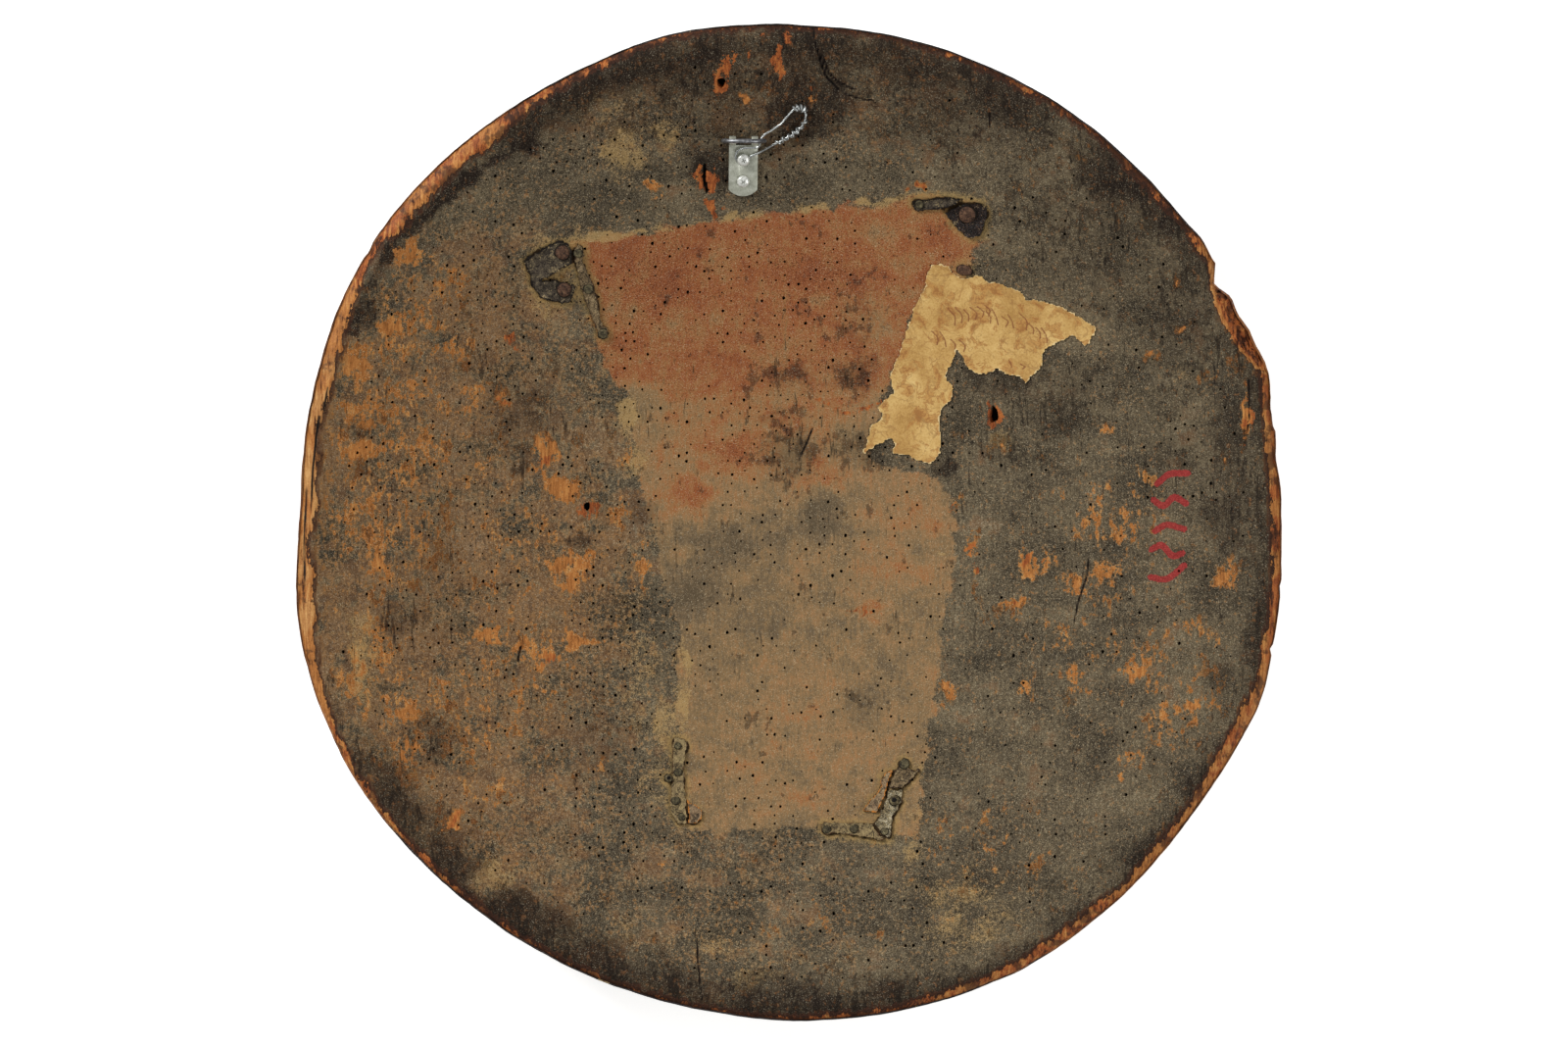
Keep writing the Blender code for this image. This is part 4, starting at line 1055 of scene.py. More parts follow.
# The film of dirt and old size: grey, browner to the left, and flaked off down to the wood.
wood["fold"] = add_node(
    old_wood, "ShaderNodeMath", {0: of_wood(-0.5, crease=1.0)}, operation="ABSOLUTE"
)
# Painted shade: thin dark lines along the creases of the film.
painted_crease_shade = of_wood(-0.042, fold=-1.0, dark=0.05, cloud=0.04)
browned = of_wood(warm=0.13, film=0.5, flake=0.3, speck=0.2)
wood["flaked"] = of_wood(-0.125, scar=0.25, warm=0.04, flake=0.55, film=0.48, speck=0.22)
ground = cover(
    old_wood,
    wood["cool_film"],
    (
        (browned, 0.56, 0.61, wood["brown_film"], 1.0),
        (of_wood(film=-0.7, flake=-0.3), -0.44, -0.42, "3a342b", 0.28),
        (of_wood(warm=0.1, patchy=1.0), 0.55, 0.64, "744b2a", 0.42),
        (of_wood(warm=0.05, speck=0.6, flake=0.4), 0.575, 0.6, "946b3f", 0.5),
    ),
)
pad_wall = of_wood(-0.2, pad_edge=0.03, patchy=0.7, film=0.5, fine=0.2, pad_fade=-0.16)
wood["in_pad"] = add_node(
    old_wood,
    "ShaderNodeMapRange",
    {"Value": pad_wall, "From Min": 0.44, "From Max": 0.54},
    interpolation_type="SMOOTHSTEP",
)
# The film is worn through where the value of its flaking is over this.
WORN = 0.65
ground = cover(
    old_wood,
    ground,
    (
        (of_wood(in_pad=-0.25, flaked=1.0), WORN - 0.06, WORN, "6e5034", 0.5),
        (of_wood(in_pad=-0.2, flaked=1.0), WORN - 0.012, WORN - 0.004, "a98a59", 0.6),
        (of_wood(in_pad=-0.2, flaked=1.0), WORN, WORN + 0.008, wood["shown_wood"], 1.0),
        (wood["in_pad"], 0.0, 1.0, wood["pad_wood"], 0.95),
        (of_wood(in_pad=0.1, pad_tint=0.1, grit=-0.7, patchy=-0.3), -0.27, -0.19, "45271a", 0.6),
        (of_wood(in_pad=0.03, grit=0.6, speck=0.4), 0.6, 0.68, "b59e78", 0.3),
        (of_wood(drip=0.03, film=0.6, flake=0.4), 0.5, 0.54, "261d17", 0.85),
        (of_wood(pale=0.4, film=0.45, fine=0.55), 0.66, 0.82, "a08354", 0.8),
        # The dark mask holds dirt and, by the hanger, the painted shadow of the wire loop.
        (of_wood(dark=0.36, patchy=0.6, fine=0.4), 0.56, 0.84, "2c1f14", 0.75),
        (of_wood(dark=0.2, film=0.6, flake=0.4), 0.58, 0.61, "1f1812", 0.55),
        (of_wood(dark=0.08, flake=0.6, speck=0.4), 0.62, 0.64, "7c5230", 0.45),
        (painted_crease_shade, -0.022, -0.006, "1d150f", 0.5),
        (wood["grit"], 0.56, 0.8, "c2b79e", 0.4),
        (of_wood(grit=-0.75, speck=-0.25), -0.46, -0.26, "120f0c", 0.48),
        (of_wood(dark=0.13, streak=-0.6, fibre=-0.4), -0.4, -0.35, "17100b", 0.65),
        (of_wood(scar=0.3, flaked=0.76, in_pad=-0.1), 0.7, 0.71, wood["rubbed"], 1.0),
        (of_wood(vivid=0.3, flake=0.7, fine=0.3), 0.69, 0.70, wood["rusty"], 1.0),
    ),
)
bare_edge = of_wood(bare=0.05, streak=0.5, flake=0.35, speck=0.15)
beside_bare = of_wood(-0.24, bare=0.02, bare_tone=0.2, streak=0.6, flake=0.7, speck=0.2)
rim_value = of_wood(bare_tone=0.6, film=0.4, streak=0.35, fibre=0.25)
rim_wood = cover(
    old_wood,
    wood["dark_red"],
    (
        (rim_value, 0.54, 0.6, wood["rusty"], 1.0),
        (rim_value, 0.64, 0.72, wood["rubbed"], 1.0),
        (rim_value, 0.9, 1.0, wood["ochre"], 1.0),
        (of_wood(streak=-0.45, fibre=-0.55), -0.43, -0.4, "5b3217", 0.85),
        (of_wood(bare_tone=-0.12, film=0.6, blotch=0.4), 0.47, 0.53, "3f271a", 0.75),
        (of_wood(torn_open=0.06, streak=-0.5, fibre=-0.5), -0.4, -0.37, "2f160b", 0.9),
    ),
)
wood_colour = cover(
    old_wood,
    ground,
    (
        (of_wood(scrap_away=-0.03, patchy=0.6, fine=0.4), 0.38, 0.52, "9c8150", 0.7),
        # Painted shade with dirt: a thin near-black ring round the leather and nail heads where
        # they meet the wood.
        (of_wood(scrap_away=-0.17, blotch=0.8, fine=0.2), 0.4, 0.5, "1d100a", 0.9),
        (beside_bare, 0.56, 0.64, "7b5833", 0.5),
        (bare_edge, 0.35, 0.42, "43261a", 0.65),
        (bare_edge, 0.43, 0.47, "2c1c14", 0.85),
        (bare_edge, 0.49, 0.5, rim_wood, 1.0),
        (of_wood(red_away=-1.0, fine=2.4), -0.75, -0.45, wood["red_paint"], 0.92),
        (wood["crack"], -0.5, 0.1, "120b07", 1.0),
        # Painted shade inside the holes.
        (wood["opened"], 0.25, 0.8, "0c0805", 1.0),
    ),
)
wood["film_gone"] = add_node(
    old_wood,
    "ShaderNodeMapRange",
    {"Value": wood["flaked"], "From Min": WORN - 0.01, "From Max": WORN + 0.01},
)
surface = of_wood(speck=0.5, fibre=0.5, grit=0.35, crease=0.8, film_gone=-0.25)
finish_shader(
    old_wood,
    {
        "Base Color": wood_colour,
        "Roughness": add_node(
            old_wood,
            "ShaderNodeMapRange",
            {"Value": bare_edge, "From Min": 0.48, "From Max": 0.7, "To Min": 0.8, "To Max": 0.5},
        ),
        "Specular IOR Level": 0.12,
        "Normal": add_node(
            old_wood, "ShaderNodeBump", {"Height": surface, "Strength": 0.8, "Distance": 0.5 * MM}
        ),
    },
)
add_piece("dish_of_boards", boards, old_wood, stands_for=("shield_body",), slot="old_wood")


# The painted ground: gesso and linen 1 mm thick, glued over the front and round the rim, with
# arms in tempera and gilding: a gold bend on a red escutcheon, and roundels between two rings.
# This face is out of sight when the shield lies on it, so it is kept plain.

# Its flat net is drawn out from one radius on, to end a little short of the rim (mm).
FRONT_CELL = 3.5
FRONT_STEPS = 540
FLAT_REACH = RIM_RADIUS - 4.0
DRAWN_FROM = 200.0
DRAWN_SHORT = 3.1
ESCUTCHEON_HALF = 88.0
ESCUTCHEON_TOP = 108.0
ESCUTCHEON_SHOULDER = 22.0
ESCUTCHEON_POINT = -128.0
BEND_HALF_WIDTH = 21.0
RING_RADII = (214.0, 262.0)
ROUNDELS = 36
ROUNDEL_RADIUS = 8.5
# Where the ground is flaking off: place and half width (mm).
LOSSES = (
    (-90, -150, 34), (70, -205, 26), (150, 120, 18), (-215, 60, 30), (20, 10, 12), (255, 90, 24),
    (-40, 235, 14), (205, -110, 22), (-150, 170, 12), (90, 60, 9),
)


def flaking(x, y):
    """How near the ground is to flaking off; it has gone where this is over about 0.4."""
    gone = np.zeros(x.shape)
    for px, py, half_width in LOSSES:
        gone = np.maximum(gone, np.exp(-(((x - px) ** 2 + (y - py) ** 2) / half_width**2)))
    return gone + 0.5 * wander(x, y, 16.0, 11.0, 1.0, 4) + 0.25 * wander(x, y, 90.0, 12.0)


def spin(bm, steps, gap):
    """Turns the lines of a bmesh once round Z, and joins points closer than the gap."""
    bmesh.ops.spin(
        bm,
        geom=bm.verts[:] + bm.edges[:],
        cent=(0.0, 0.0, 0.0),
        axis=(0.0, 0.0, 1.0),
        angle=math.tau,
        steps=steps,
        use_merge=True,
    )
    bmesh.ops.remove_doubles(bm, verts=bm.verts, dist=gap)


bm = bmesh.new()
ends = [bm.verts.new((reach, 0.0, 0.0)) for reach in (0.0, FLAT_REACH)]
spoke = bm.edges.new(ends)
bmesh.ops.subdivide_edges(bm, edges=[spoke], cuts=round(RIM_RADIUS / FRONT_CELL) - 1)
spin(bm, FRONT_STEPS, 0.02)
for vert in bm.verts:
    reach = vert.co.length
    if reach > DRAWN_FROM:
        drawn = (reach - DRAWN_FROM) / (FLAT_REACH - DRAWN_FROM)
        edge = float(broken_rim(angle_of(vert.co.x, vert.co.y))) - DRAWN_SHORT
        vert.co *= (reach + drawn * (edge - FLAT_REACH)) / reach
x, y, _ = np.array([vert.co for vert in bm.verts]).T
waves = 0.14 * wander(x, y, 34.0, 13.0, 1.6)
for vert, loss, wave in zip(bm.verts, flaking(x, y), waves):
    reach = min(vert.co.length, RIM_RADIUS) * MM
    sink = 0.55 * min(max((loss - 0.42) / 0.12, 0.0), 1.0) + abs(wave)
    vert.co *= MM
    vert.co.z = front_height(reach) + (sink if reach > REST_SPOT_RADIUS + 0.004 else 0.0) * MM


def round_rim(inset, rise, angle):
    """Radius and height where the ground turns round the rim; with no rise, at its broken lip."""
    reach = (float(broken_rim(angle)) - inset) * MM
    if rise is not None:
        return reach, front_height(min(reach, RIM_RADIUS * MM)) + rise * MM
    turn = math.radians(angle)
    broken = noise.noise((math.cos(turn) * 14.0, math.sin(turn) * 14.0, 2.0))
    lip = back_height((float(sound_rim(angle)) - LAND_WIDTH) * MM) - 4.2 * MM
    return reach, lip + 0.9 * MM * broken


# Round the rim: out, up the side to a broken lip, and back down against the wood.
edge = [e for e in bm.edges if e.is_boundary]
for inset, rise in (
    (0.3, 0.35), (-0.35, 2.4), (-0.75, 6), (-0.5, None), (0.4, None), (0.25, 4), (0.6, 1.4),
):
    edge = outer_ring(bm, edge, partial(round_rim, inset, rise))
for ring in (270.0, 245.0, 205.0, 165.0, 125.0, 85.0, 50.0):
    edge = outer_ring(bm, edge, partial(under_ground, ring))
bmesh.ops.edgeloop_fill(bm, edges=edge)
bmesh.ops.recalc_face_normals(bm, faces=bm.faces)
painted = as_mesh("painted_ground", bm, 50.0)

# Where each colour lies, in millimetres from its edge, positive inside it. Seen from the front,
# +X is at the left.
x, y, _ = points_of(painted)
radius = np.hypot(x, y)
angle = np.degrees(np.arctan2(y, x)) % 360.0
side_height = ESCUTCHEON_SHOULDER - ESCUTCHEON_POINT
side_bow = (side_height**2 - ESCUTCHEON_HALF**2) / (2.0 * ESCUTCHEON_HALF)
bow = side_bow + ESCUTCHEON_HALF
below = bow - np.hypot(np.abs(x) + side_bow, np.minimum(y - ESCUTCHEON_SHOULDER, 0.0))
rings = np.maximum(*[2.2 - np.abs(radius - ring) for ring in RING_RADII])
turn = (angle * ROUNDELS / 360.0 + 0.5) % 1.0 - 0.5
middle = sum(RING_RADII) / 2.0
roundels = ROUNDEL_RADIUS - np.hypot(radius - middle, turn * math.tau / ROUNDELS * middle)
EDGE_TURN = (0, 30, 40, 60, 90, 120, 135, 150, 205, 220, 245, 300, 312, 335, 360)
EDGE_PAINT = (0.25, 0.3, 0.9, 1, 0.9, 0.7, 0.2, 0, 0, 0.8, 1, 0.6, 0.1, 0.15, 0.25)
at_edge = np.interp(angle, EDGE_TURN, EDGE_PAINT)
masks = {
    "escutcheon": np.minimum(below, ESCUTCHEON_TOP - y),
    "bend": BEND_HALF_WIDTH - np.abs(x - y + 6.0) / math.sqrt(2.0),
    "gilt": np.maximum(rings, roundels),
    "lost": flaking(x, y),
    "edge_paint": np.where(radius > RIM_RADIUS - 16.0, at_edge, 1.0),
}
store(painted, masks)

# Egg tempera and shell gold under old varnish: dark, with a low gloss, and cracked all over in
# cells of about 9 mm; chalky gesso and brown wood show where it has flaked.
tempera, place = new_material("tempera_on_gesso")
fibrous = add_node(tempera, "ShaderNodeMapping", {"Vector": place, "Scale": (1.0, 0.12, 1.0)})
front = {}
for name in masks:
    front[name] = add_node(tempera, "ShaderNodeAttribute", {}, "Fac", attribute_name=name)
for name, vector, scale, detail, roughness in (
    ("cloud", place, 24.0, 5.0, 0.68),
    ("mottle", place, 110.0, 6.0, 0.68),
    ("speckle", place, 520.0, 3.0, 0.68),
    ("board_grain", fibrous, 420.0, 6.0, 0.7),
):
    front[name] = add_node(
        tempera,
        "ShaderNodeTexNoise",
        {"Vector": vector, "Scale": scale, "Detail": detail, "Roughness": roughness},
    )
of_front = partial(blend, tempera, front)
shaken = add_node(tempera, "ShaderNodeTexNoise", {"Vector": place, "Scale": 60.0}, "Color")
warped = add_node(tempera, "ShaderNodeMix", {0: 0.03, 4: place, 5: shaken}, 1, data_type="VECTOR")
front["cracks"] = add_node(
    tempera, "ShaderNodeTexVoronoi", {"Vector": warped, "Scale": 110.0}, feature="DISTANCE_TO_EDGE"
)
board = of_front(board_grain=0.5, mottle=0.3, speckle=0.2)
black_ground, red_field, gold, brown_board, edge_board = (
    add_node(tempera, "ShaderNodeValToRGB", {"Fac": value}, stops=stops)
    for value, stops in (
        (front["mottle"], ((0.3, "17100f"), (0.5, "2a1f1c"), (0.7, "463629"))),
        (front["mottle"], ((0.3, "471713"), (0.5, "7a2a1f"), (0.7, "984231"))),
        (front["mottle"], ((0.3, "6a4a1f"), (0.5, "a57c3a"), (0.68, "c9a35a"))),
        (board, ((0.38, "33211a"), (0.47, "573c28"), (0.54, "70503a"), (0.63, "8f6d49"))),
        (board, ((0.38, "3f2415"), (0.45, "7a4b2a"), (0.52, "9a6538"), (0.6, "b98a55"))),
    )
)
front["edge_wobble"] = of_front(-1.5, mottle=3.0)
front["wear"] = of_front(-0.37, lost=1.0, mottle=0.5, speckle=0.25)
front["in_bend"] = add_node(
    tempera,
    "ShaderNodeMath",
    {0: front["bend"], 1: of_front(-2.2, escutcheon=1.0)},
    operation="MINIMUM",
)
front["lift"] = add_node(
    tempera, "ShaderNodeMapRange", {"Value": front["cracks"], "From Max": 0.05, "To Max": 1.0}
)
front_colour = cover(
    tempera,
    black_ground,
    (
        (of_front(0.6, gilt=1.0, edge_wobble=0.6, speckle=-1.6), -0.2, 0.3, gold, 1.0),
        (of_front(escutcheon=1.0, edge_wobble=0.3), 0.0, 0.4, "1c1210", 1.0),
        (of_front(escutcheon=1.0, edge_wobble=0.3), 2.0, 2.5, red_field, 1.0),
        (of_front(in_bend=1.0, edge_wobble=0.3), -1.4, -1.0, "1c1210", 1.0),
        (of_front(in_bend=1.0, edge_wobble=0.3), 0.0, 0.4, gold, 1.0),
        (of_front(cloud=1.0, mottle=0.4), 0.74, 1.0, "241a14", 1.0),
        (of_front(cracks=-1.0), -0.03, -0.01, "120c0a", 1.0),
        (front["wear"], 0.40, 0.44, "a8926c", 1.0),
        (of_front(wear=1.0, speckle=0.2), 0.62, 0.70, brown_board, 1.0),
        (of_front(edge_paint=-1.0, mottle=0.7), -0.35, -0.1, edge_board, 1.0),
    ),
)
varnish = {
    "Value": front["wear"],
    "From Min": 0.3,
    "From Max": 0.45,
    "To Min": 0.42,
    "To Max": 0.85,
}
bumps = {
    "Height": of_front(lift=1.0, speckle=0.5, board_grain=0.6),
    "Strength": 0.5,
    "Distance": 0.3 * MM,
}
finish_shader(
    tempera,
    {
        "Base Color": front_colour,
        "Roughness": add_node(tempera, "ShaderNodeMapRange", varnish),
        "Normal": add_node(tempera, "ShaderNodeBump", bumps),
    },
)
add_piece("painted_ground", painted, tempera, stands_for=("shield_body",), slot="painted_ground")


# The leather: scraps of the arm pad's border, cowhide about 1.2 mm thick, still held by their
# nails. Dried hard, cracked and grey with dust; their torn edges have lifted and curled.

LEATHER_CELL = 0.7
LEATHER_THICKNESS = 1.15


def laid_sheet(outline, cell, ragged):
    """A flat grid cut to a ragged outline, returned with each point's distance inside it, in mm."""
    low_x, high_x = min(p[0] for p in outline), max(p[0] for p in outline)
    low_y, high_y = min(p[1] for p in outline), max(p[1] for p in outline)
    across, along = (math.ceil((b - a) / cell) + 2 for a, b in ((low_x, high_x), (low_y, high_y)))
    bm = bmesh.new()
    bmesh.ops.create_grid(bm, x_segments=across, y_segments=along, size=0.5)
    middle = ((low_x + high_x) / 2.0, (low_y + high_y) / 2.0, 0.0)
    bmesh.ops.scale(bm, verts=bm.verts, vec=(across * cell, along * cell, 1.0))
    bmesh.ops.translate(bm, verts=bm.verts, vec=middle)
    co = np.array([vert.co for vert in bm.verts])
    x, y = co[:, 0], co[:, 1]
    x = x + ragged * wander(x, y, 2.6, 21.0) + 0.4 * ragged * wander(x, y, 0.9, 22.0)
    y = y + ragged * wander(x, y, 2.6, 23.0) + 0.4 * ragged * wander(x, y, 0.9, 24.0)
    away, _ = segment_distance(x, y, outline + outline[:1])
    within = inside_outline(x, y, outline)
    dead = [
        vert for vert, inner, gap in zip(bm.verts, within, away) if not inner and gap > 0.45 * cell
    ]
    bmesh.ops.delete(bm, geom=dead, context="VERTS")
    loose = [vert for vert in bm.verts if not vert.link_faces]
    bmesh.ops.delete(bm, geom=loose, context="VERTS")
    rim = [vert for vert in bm.verts if vert.is_boundary]
    bmesh.ops.smooth_vert(bm, verts=rim, factor=0.5, use_axis_x=True, use_axis_y=True)
    co = np.array([vert.co for vert in bm.verts])
    x = co[:, 0] + ragged * wander(co[:, 0], co[:, 1], 2.6, 21.0)
    y = co[:, 1] + ragged * wander(co[:, 0], co[:, 1], 2.6, 23.0)
    away, _ = segment_distance(x, y, outline + outline[:1])
    return bm, np.where(inside_outline(x, y, outline), away, 0.0)


def keep(bm, **values):
    """Keeps named numbers with the points of a bmesh."""
    for name, numbers in values.items():
        layer = bm.verts.layers.float.new(name)
        for vert, number in zip(bm.verts, numbers):
            vert[layer] = number


def lay_down(bm, heights, thickness):
    """Gives the flat sheet its wall, and lays it on the back at heights above the wood (mm)."""
    by_place = {(round(v.co.x, 4), round(v.co.y, 4)): h for v, h in zip(bm.verts, heights)}
    made = bmesh.ops.extrude_face_region(bm, geom=bm.faces[:])["geom"]
    upper = {item for item in made if isinstance(item, bmesh.types.BMVert)}
    for vert in bm.verts:
        high = by_place[(round(vert.co.x, 4), round(vert.co.y, 4))]
        rise = high if vert in upper else high - thickness
        stand = back_frame(vert.co.x * MM, vert.co.y * MM)
        vert.co = stand.translation + stand.col[2].to_3d() * rise * MM
    bmesh.ops.recalc_face_normals(bm, faces=bm.faces)


def old_hide(name, middle_colours, edge_colour, edge_reach, roughness):
    """Dried cowhide: fine cracked grain of about 1 mm, painted shade along its folds, an edge of
    its own colour.
    """
    hide, place = new_material(name)
    grain = {"inside": add_node(hide, "ShaderNodeAttribute", {}, "Fac", attribute_name="inside")}
    of_hide = partial(blend, hide, grain)
    for part, scale, bend in (("blotch", 230.0, 0.0), ("crumple", 130.0, 0.8)):
        noise_inputs = {
            "Vector": place,
            "Scale": scale,
            "Detail": 6.0,
            "Roughness": 0.7,
            "Distortion": bend,
        }
        grain[part] = add_node(hide, "ShaderNodeTexNoise", noise_inputs)
    grain["pores"] = add_node(hide, "ShaderNodeTexVoronoi", {"Vector": place, "Scale": 1300.0})
    grain["texture"] = of_hide(blotch=0.8, pores=0.3)
    grain["fold"] = add_node(
        hide, "ShaderNodeMath", {0: of_hide(-0.5, crumple=1.0)}, operation="ABSOLUTE"
    )
    stops = tuple(zip((0.3, 0.45, 0.58, 0.72), middle_colours))
    colour = cover(
        hide,
        add_node(hide, "ShaderNodeValToRGB", {"Fac": grain["texture"]}, stops=stops),
        (
            # Painted shade: near-black lines along the folds.
            (grain["fold"], 0.034, 0.012, "120c08", 0.8),
            (of_hide(inside=-1.0, blotch=edge_reach), -0.2, 0.25, edge_colour, 1.0),
            (of_hide(blotch=1.0, pores=0.3), 0.76, 0.84, "9a8560", 0.8),
        ),
    )
    bumps = {"Height": of_hide(texture=1.0, fold=2.0), "Strength": 1.0, "Distance": 0.9 * MM}
    finish_shader(
        hide,
        {
            "Base Color": colour,
            "Roughness": roughness,
            "Specular IOR Level": 0.2,
            "Normal": add_node(hide, "ShaderNodeBump", bumps),
        },
    )
    return hide


DARK_EDGE = "140d09"
grey_hide = old_hide(
    "cowhide_grey_with_dust", ("241c15", "3d342a", "52483a", "776a51"), DARK_EDGE, 1.9, 0.7
)
brown_hide = old_hide(
    "cowhide_brown", ("3a2c1e", "5f4e36", "786447", "968262"), "2b190e", 1.0, 0.62
)
black_hide = old_hide(
    "cowhide_blackened", ("0c0908", "18110f", "271b17", "4d3a2e"), "0a0706", 1.2, 0.35
)
tan_hide = old_hide("cowhide_tan", ("5c4c36", "7c6a4b", "8e7a55", "a99668"), "4a2817", 0.55, 0.66)
scuffed_hide = old_hide(
    "cowhide_scuffed_pale", ("54462f", "7d6c4c", "958767", "d0c8b0"), "33200f", 0.65, 0.55
)
orange_edged_hide = old_hide(
    "cowhide_with_raw_edge", ("4b3a29", "765f45", "8f775a", "a8946f"), "b5722c", 1.25, 0.62
)

STRIP_LOWER_LEFT = [
    (-65.2, -121.6), (-62.7, -121.1), (-59.7, -122), (-57.8, -124.1), (-57.4, -127),
    (-58.5, -131.2), (-59.5, -138.8), (-59.3, -147.2), (-58.5, -151.4), (-57.9, -156),
    (-58.2, -161), (-57.4, -166), (-57.8, -170.3), (-62.5, -170.4), (-64.6, -167.9),
    (-66.7, -163.2), (-67.1, -155.7), (-66.3, -147.2), (-65.8, -138.8), (-65.6, -126.2),
]
FLAP_LOWER_LEFT = [
    (-57.6, -156), (-55.3, -158.2), (-51.9, -160.3), (-49.4, -162), (-48.6, -164.9),
    (-49.8, -167.4), (-51.5, -170), (-57, -170.1), (-56.4, -165.6), (-57.3, -161),
]
for name, node, outline, hide, curl, seed in (
    ("patch_upper_left", "leather_patch_upper_left", None, grey_hide, 0.7, 31.0),
    ("strip_upper_left", "leather_strip_upper_left", None, brown_hide, 0.5, 32.0),
    ("strip_upper_right", "leather_strip_upper_right", None, grey_hide, 0.6, 33.0),
    ("patch_upper_right", "leather_patch_upper_right", None, black_hide, 0.9, 34.0),
    ("strip_lower_left", "leather_strip_lower_left", STRIP_LOWER_LEFT, tan_hide, 0.5, 35.0),
    ("flap_lower_left", "leather_strip_lower_left", FLAP_LOWER_LEFT, orange_edged_hide, 0.4, 40.0),
    ("strip_lower_right", "leather_strip_lower_right", None, tan_hide, 0.5, 36.0),
    ("corner_lower_right", "leather_corner_lower_right", None, scuffed_hide, 0.5, 37.0),
    ("end_lower_right", "leather_end_lower_right", None, brown_hide, 0.7, 38.0),
    ("flap_lower_right", "leather_flap_lower_right", None, orange_edged_hide, 0.8, 39.0),
):
    bm, inside = laid_sheet(outline or sheet_outline(node), LEATHER_CELL, 0.8)
    co = np.array([vert.co for vert in bm.verts])
    folds = wander(co[:, 0], co[:, 1], 7.0, seed)
    lifted = curl * bell(inside, 1.6) * (0.7 + 0.6 * folds)
    heights = 1.3 + 0.55 * folds + 0.15 * wander(co[:, 0], co[:, 1], 1.8, seed + 0.5) + lifted
    keep(bm, inside=inside)
    lay_down(bm, np.maximum(heights, 0.7), LEATHER_THICKNESS)
    new_piece("hide_" + name, bm, hide, 50.0, stands_for=(node,), slot="old_leather")


# The label: rag paper pasted over the wood and torn, its edges rubbed and its face foxed brown.
# The faint pen strokes on it say nothing.

PAPER_CELL = 0.65
PAPER_THICKNESS = 0.28
# Rows of pen strokes: where each starts and ends, how many strokes, and how tall (mm).
PEN_ROWS = (
    ((84, 101), (99, 97), 4, 9),
    ((94, 112), (113, 117), 6, 10),
    ((114, 113), (127, 110), 4, 9),
    ((134, 109), (146, 102), 4, 9),
    ((126, 88), (132, 87), 2, 4),
)
bm, inside = laid_sheet(sheet_outline("paper_label"), PAPER_CELL, 0.9)
co = np.array([vert.co for vert in bm.verts])
x, y = co[:, 0], co[:, 1]
ink = np.full(x.shape, 9.0)
pen = random.Random(12)
for start, end, strokes, tall in PEN_ROWS:
    for k in range(strokes):
        foot = Vector((*start, 0.0)).lerp(Vector((*end, 0.0)), k / (strokes - 1))
        slant = Vector((-0.42 * tall, tall, 0.0)) * pen.uniform(0.6, 1.1)
        bulge = Vector((pen.uniform(0.6, 2.6), 0.0, 0.0))
        bow = smooth_route([foot, foot + slant * 0.5 + bulge, foot + slant], 1.0)
        ink = np.minimum(ink, segment_distance(x, y, [tuple(point.xy) for point in bow])[0])
bubbles = wander(x, y, 11.0, 51.0)
heights = 0.55 + 0.16 * bubbles + 0.35 * bell(inside, 1.2) * (0.6 + wander(x, y, 5.0, 52.0))
keep(bm, inside=inside, ink=ink)
lay_down(bm, np.maximum(heights, 0.3), PAPER_THICKNESS)

paper, place = new_material("foxed_rag_paper")
rag = {}
of_rag = partial(blend, paper, rag)
for name in ("inside", "ink"):
    rag[name] = add_node(paper, "ShaderNodeAttribute", {}, "Fac", attribute_name=name)
for name, scale, detail, roughness, bend in (
    ("cloud", 45.0, 6.0, 0.62, 0.0),
    ("fox", 110.0, 6.0, 0.62, 0.6),
    ("fleck", 900.0, 6.0, 0.62, 0.0),
    ("crumple", 75.0, 4.0, 0.5, 1.2),
):
    noise_inputs = {
        "Vector": place,
        "Scale": scale,
        "Detail": detail,
        "Roughness": roughness,
        "Distortion": bend,
    }
    rag[name] = add_node(paper, "ShaderNodeTexNoise", noise_inputs)
for name, value in (("tide", of_rag(-0.535, fox=1.0)), ("fold", of_rag(-0.5, crumple=1.0))):
    rag[name] = add_node(paper, "ShaderNodeMath", {0: value}, operation="ABSOLUTE")
rag["pinhole"] = add_node(paper, "ShaderNodeTexVoronoi", {"Vector": place, "Scale": 62.0})
sheet_colour = add_node(
    paper,
    "ShaderNodeValToRGB",
    {"Fac": of_rag(cloud=0.6, fleck=0.4)},
    stops=((0.38, "a37a3c"), (0.46, "b68e4e"), (0.54, "c7a260"), (0.64, "d8b877")),
)
sheet_colour = cover(
    paper,
    sheet_colour,
    (
        (of_rag(fox=0.75, cloud=0.25), 0.515, 0.545, "b07c3c", 0.6),
        (of_rag(fox=0.7, fleck=0.3), 0.55, 0.6, "8f5c28", 0.8),
        (of_rag(fox=0.3, fleck=0.7), 0.55, 0.6, "9c6c34", 0.7),
        (of_rag(tide=-1.0, cloud=0.02), -0.003, 0.006, "8a5c2b", 0.55),
        (of_rag(fold=-1.0, cloud=0.03), -0.002, 0.01, "8c6433", 0.5),
        (of_rag(inside=-0.8, fox=1.0), 0.05, 0.3, "d8bf8a", 0.9),
        (of_rag(ink=-1.0, fleck=0.9), -0.05, 0.1, "7d4a22", 0.85),
        (of_rag(pinhole=-1.0, fox=0.1), 0.005, 0.015, "23140a", 0.95),
    ),
)
bumps = {"Height": of_rag(fleck=0.5, fox=0.5), "Strength": 0.35, "Distance": 0.3 * MM}
finish_shader(
    paper,
    {
        "Base Color": sheet_colour,
        "Roughness": 0.82,
        "Normal": add_node(paper, "ShaderNodeBump", bumps),
    },
)
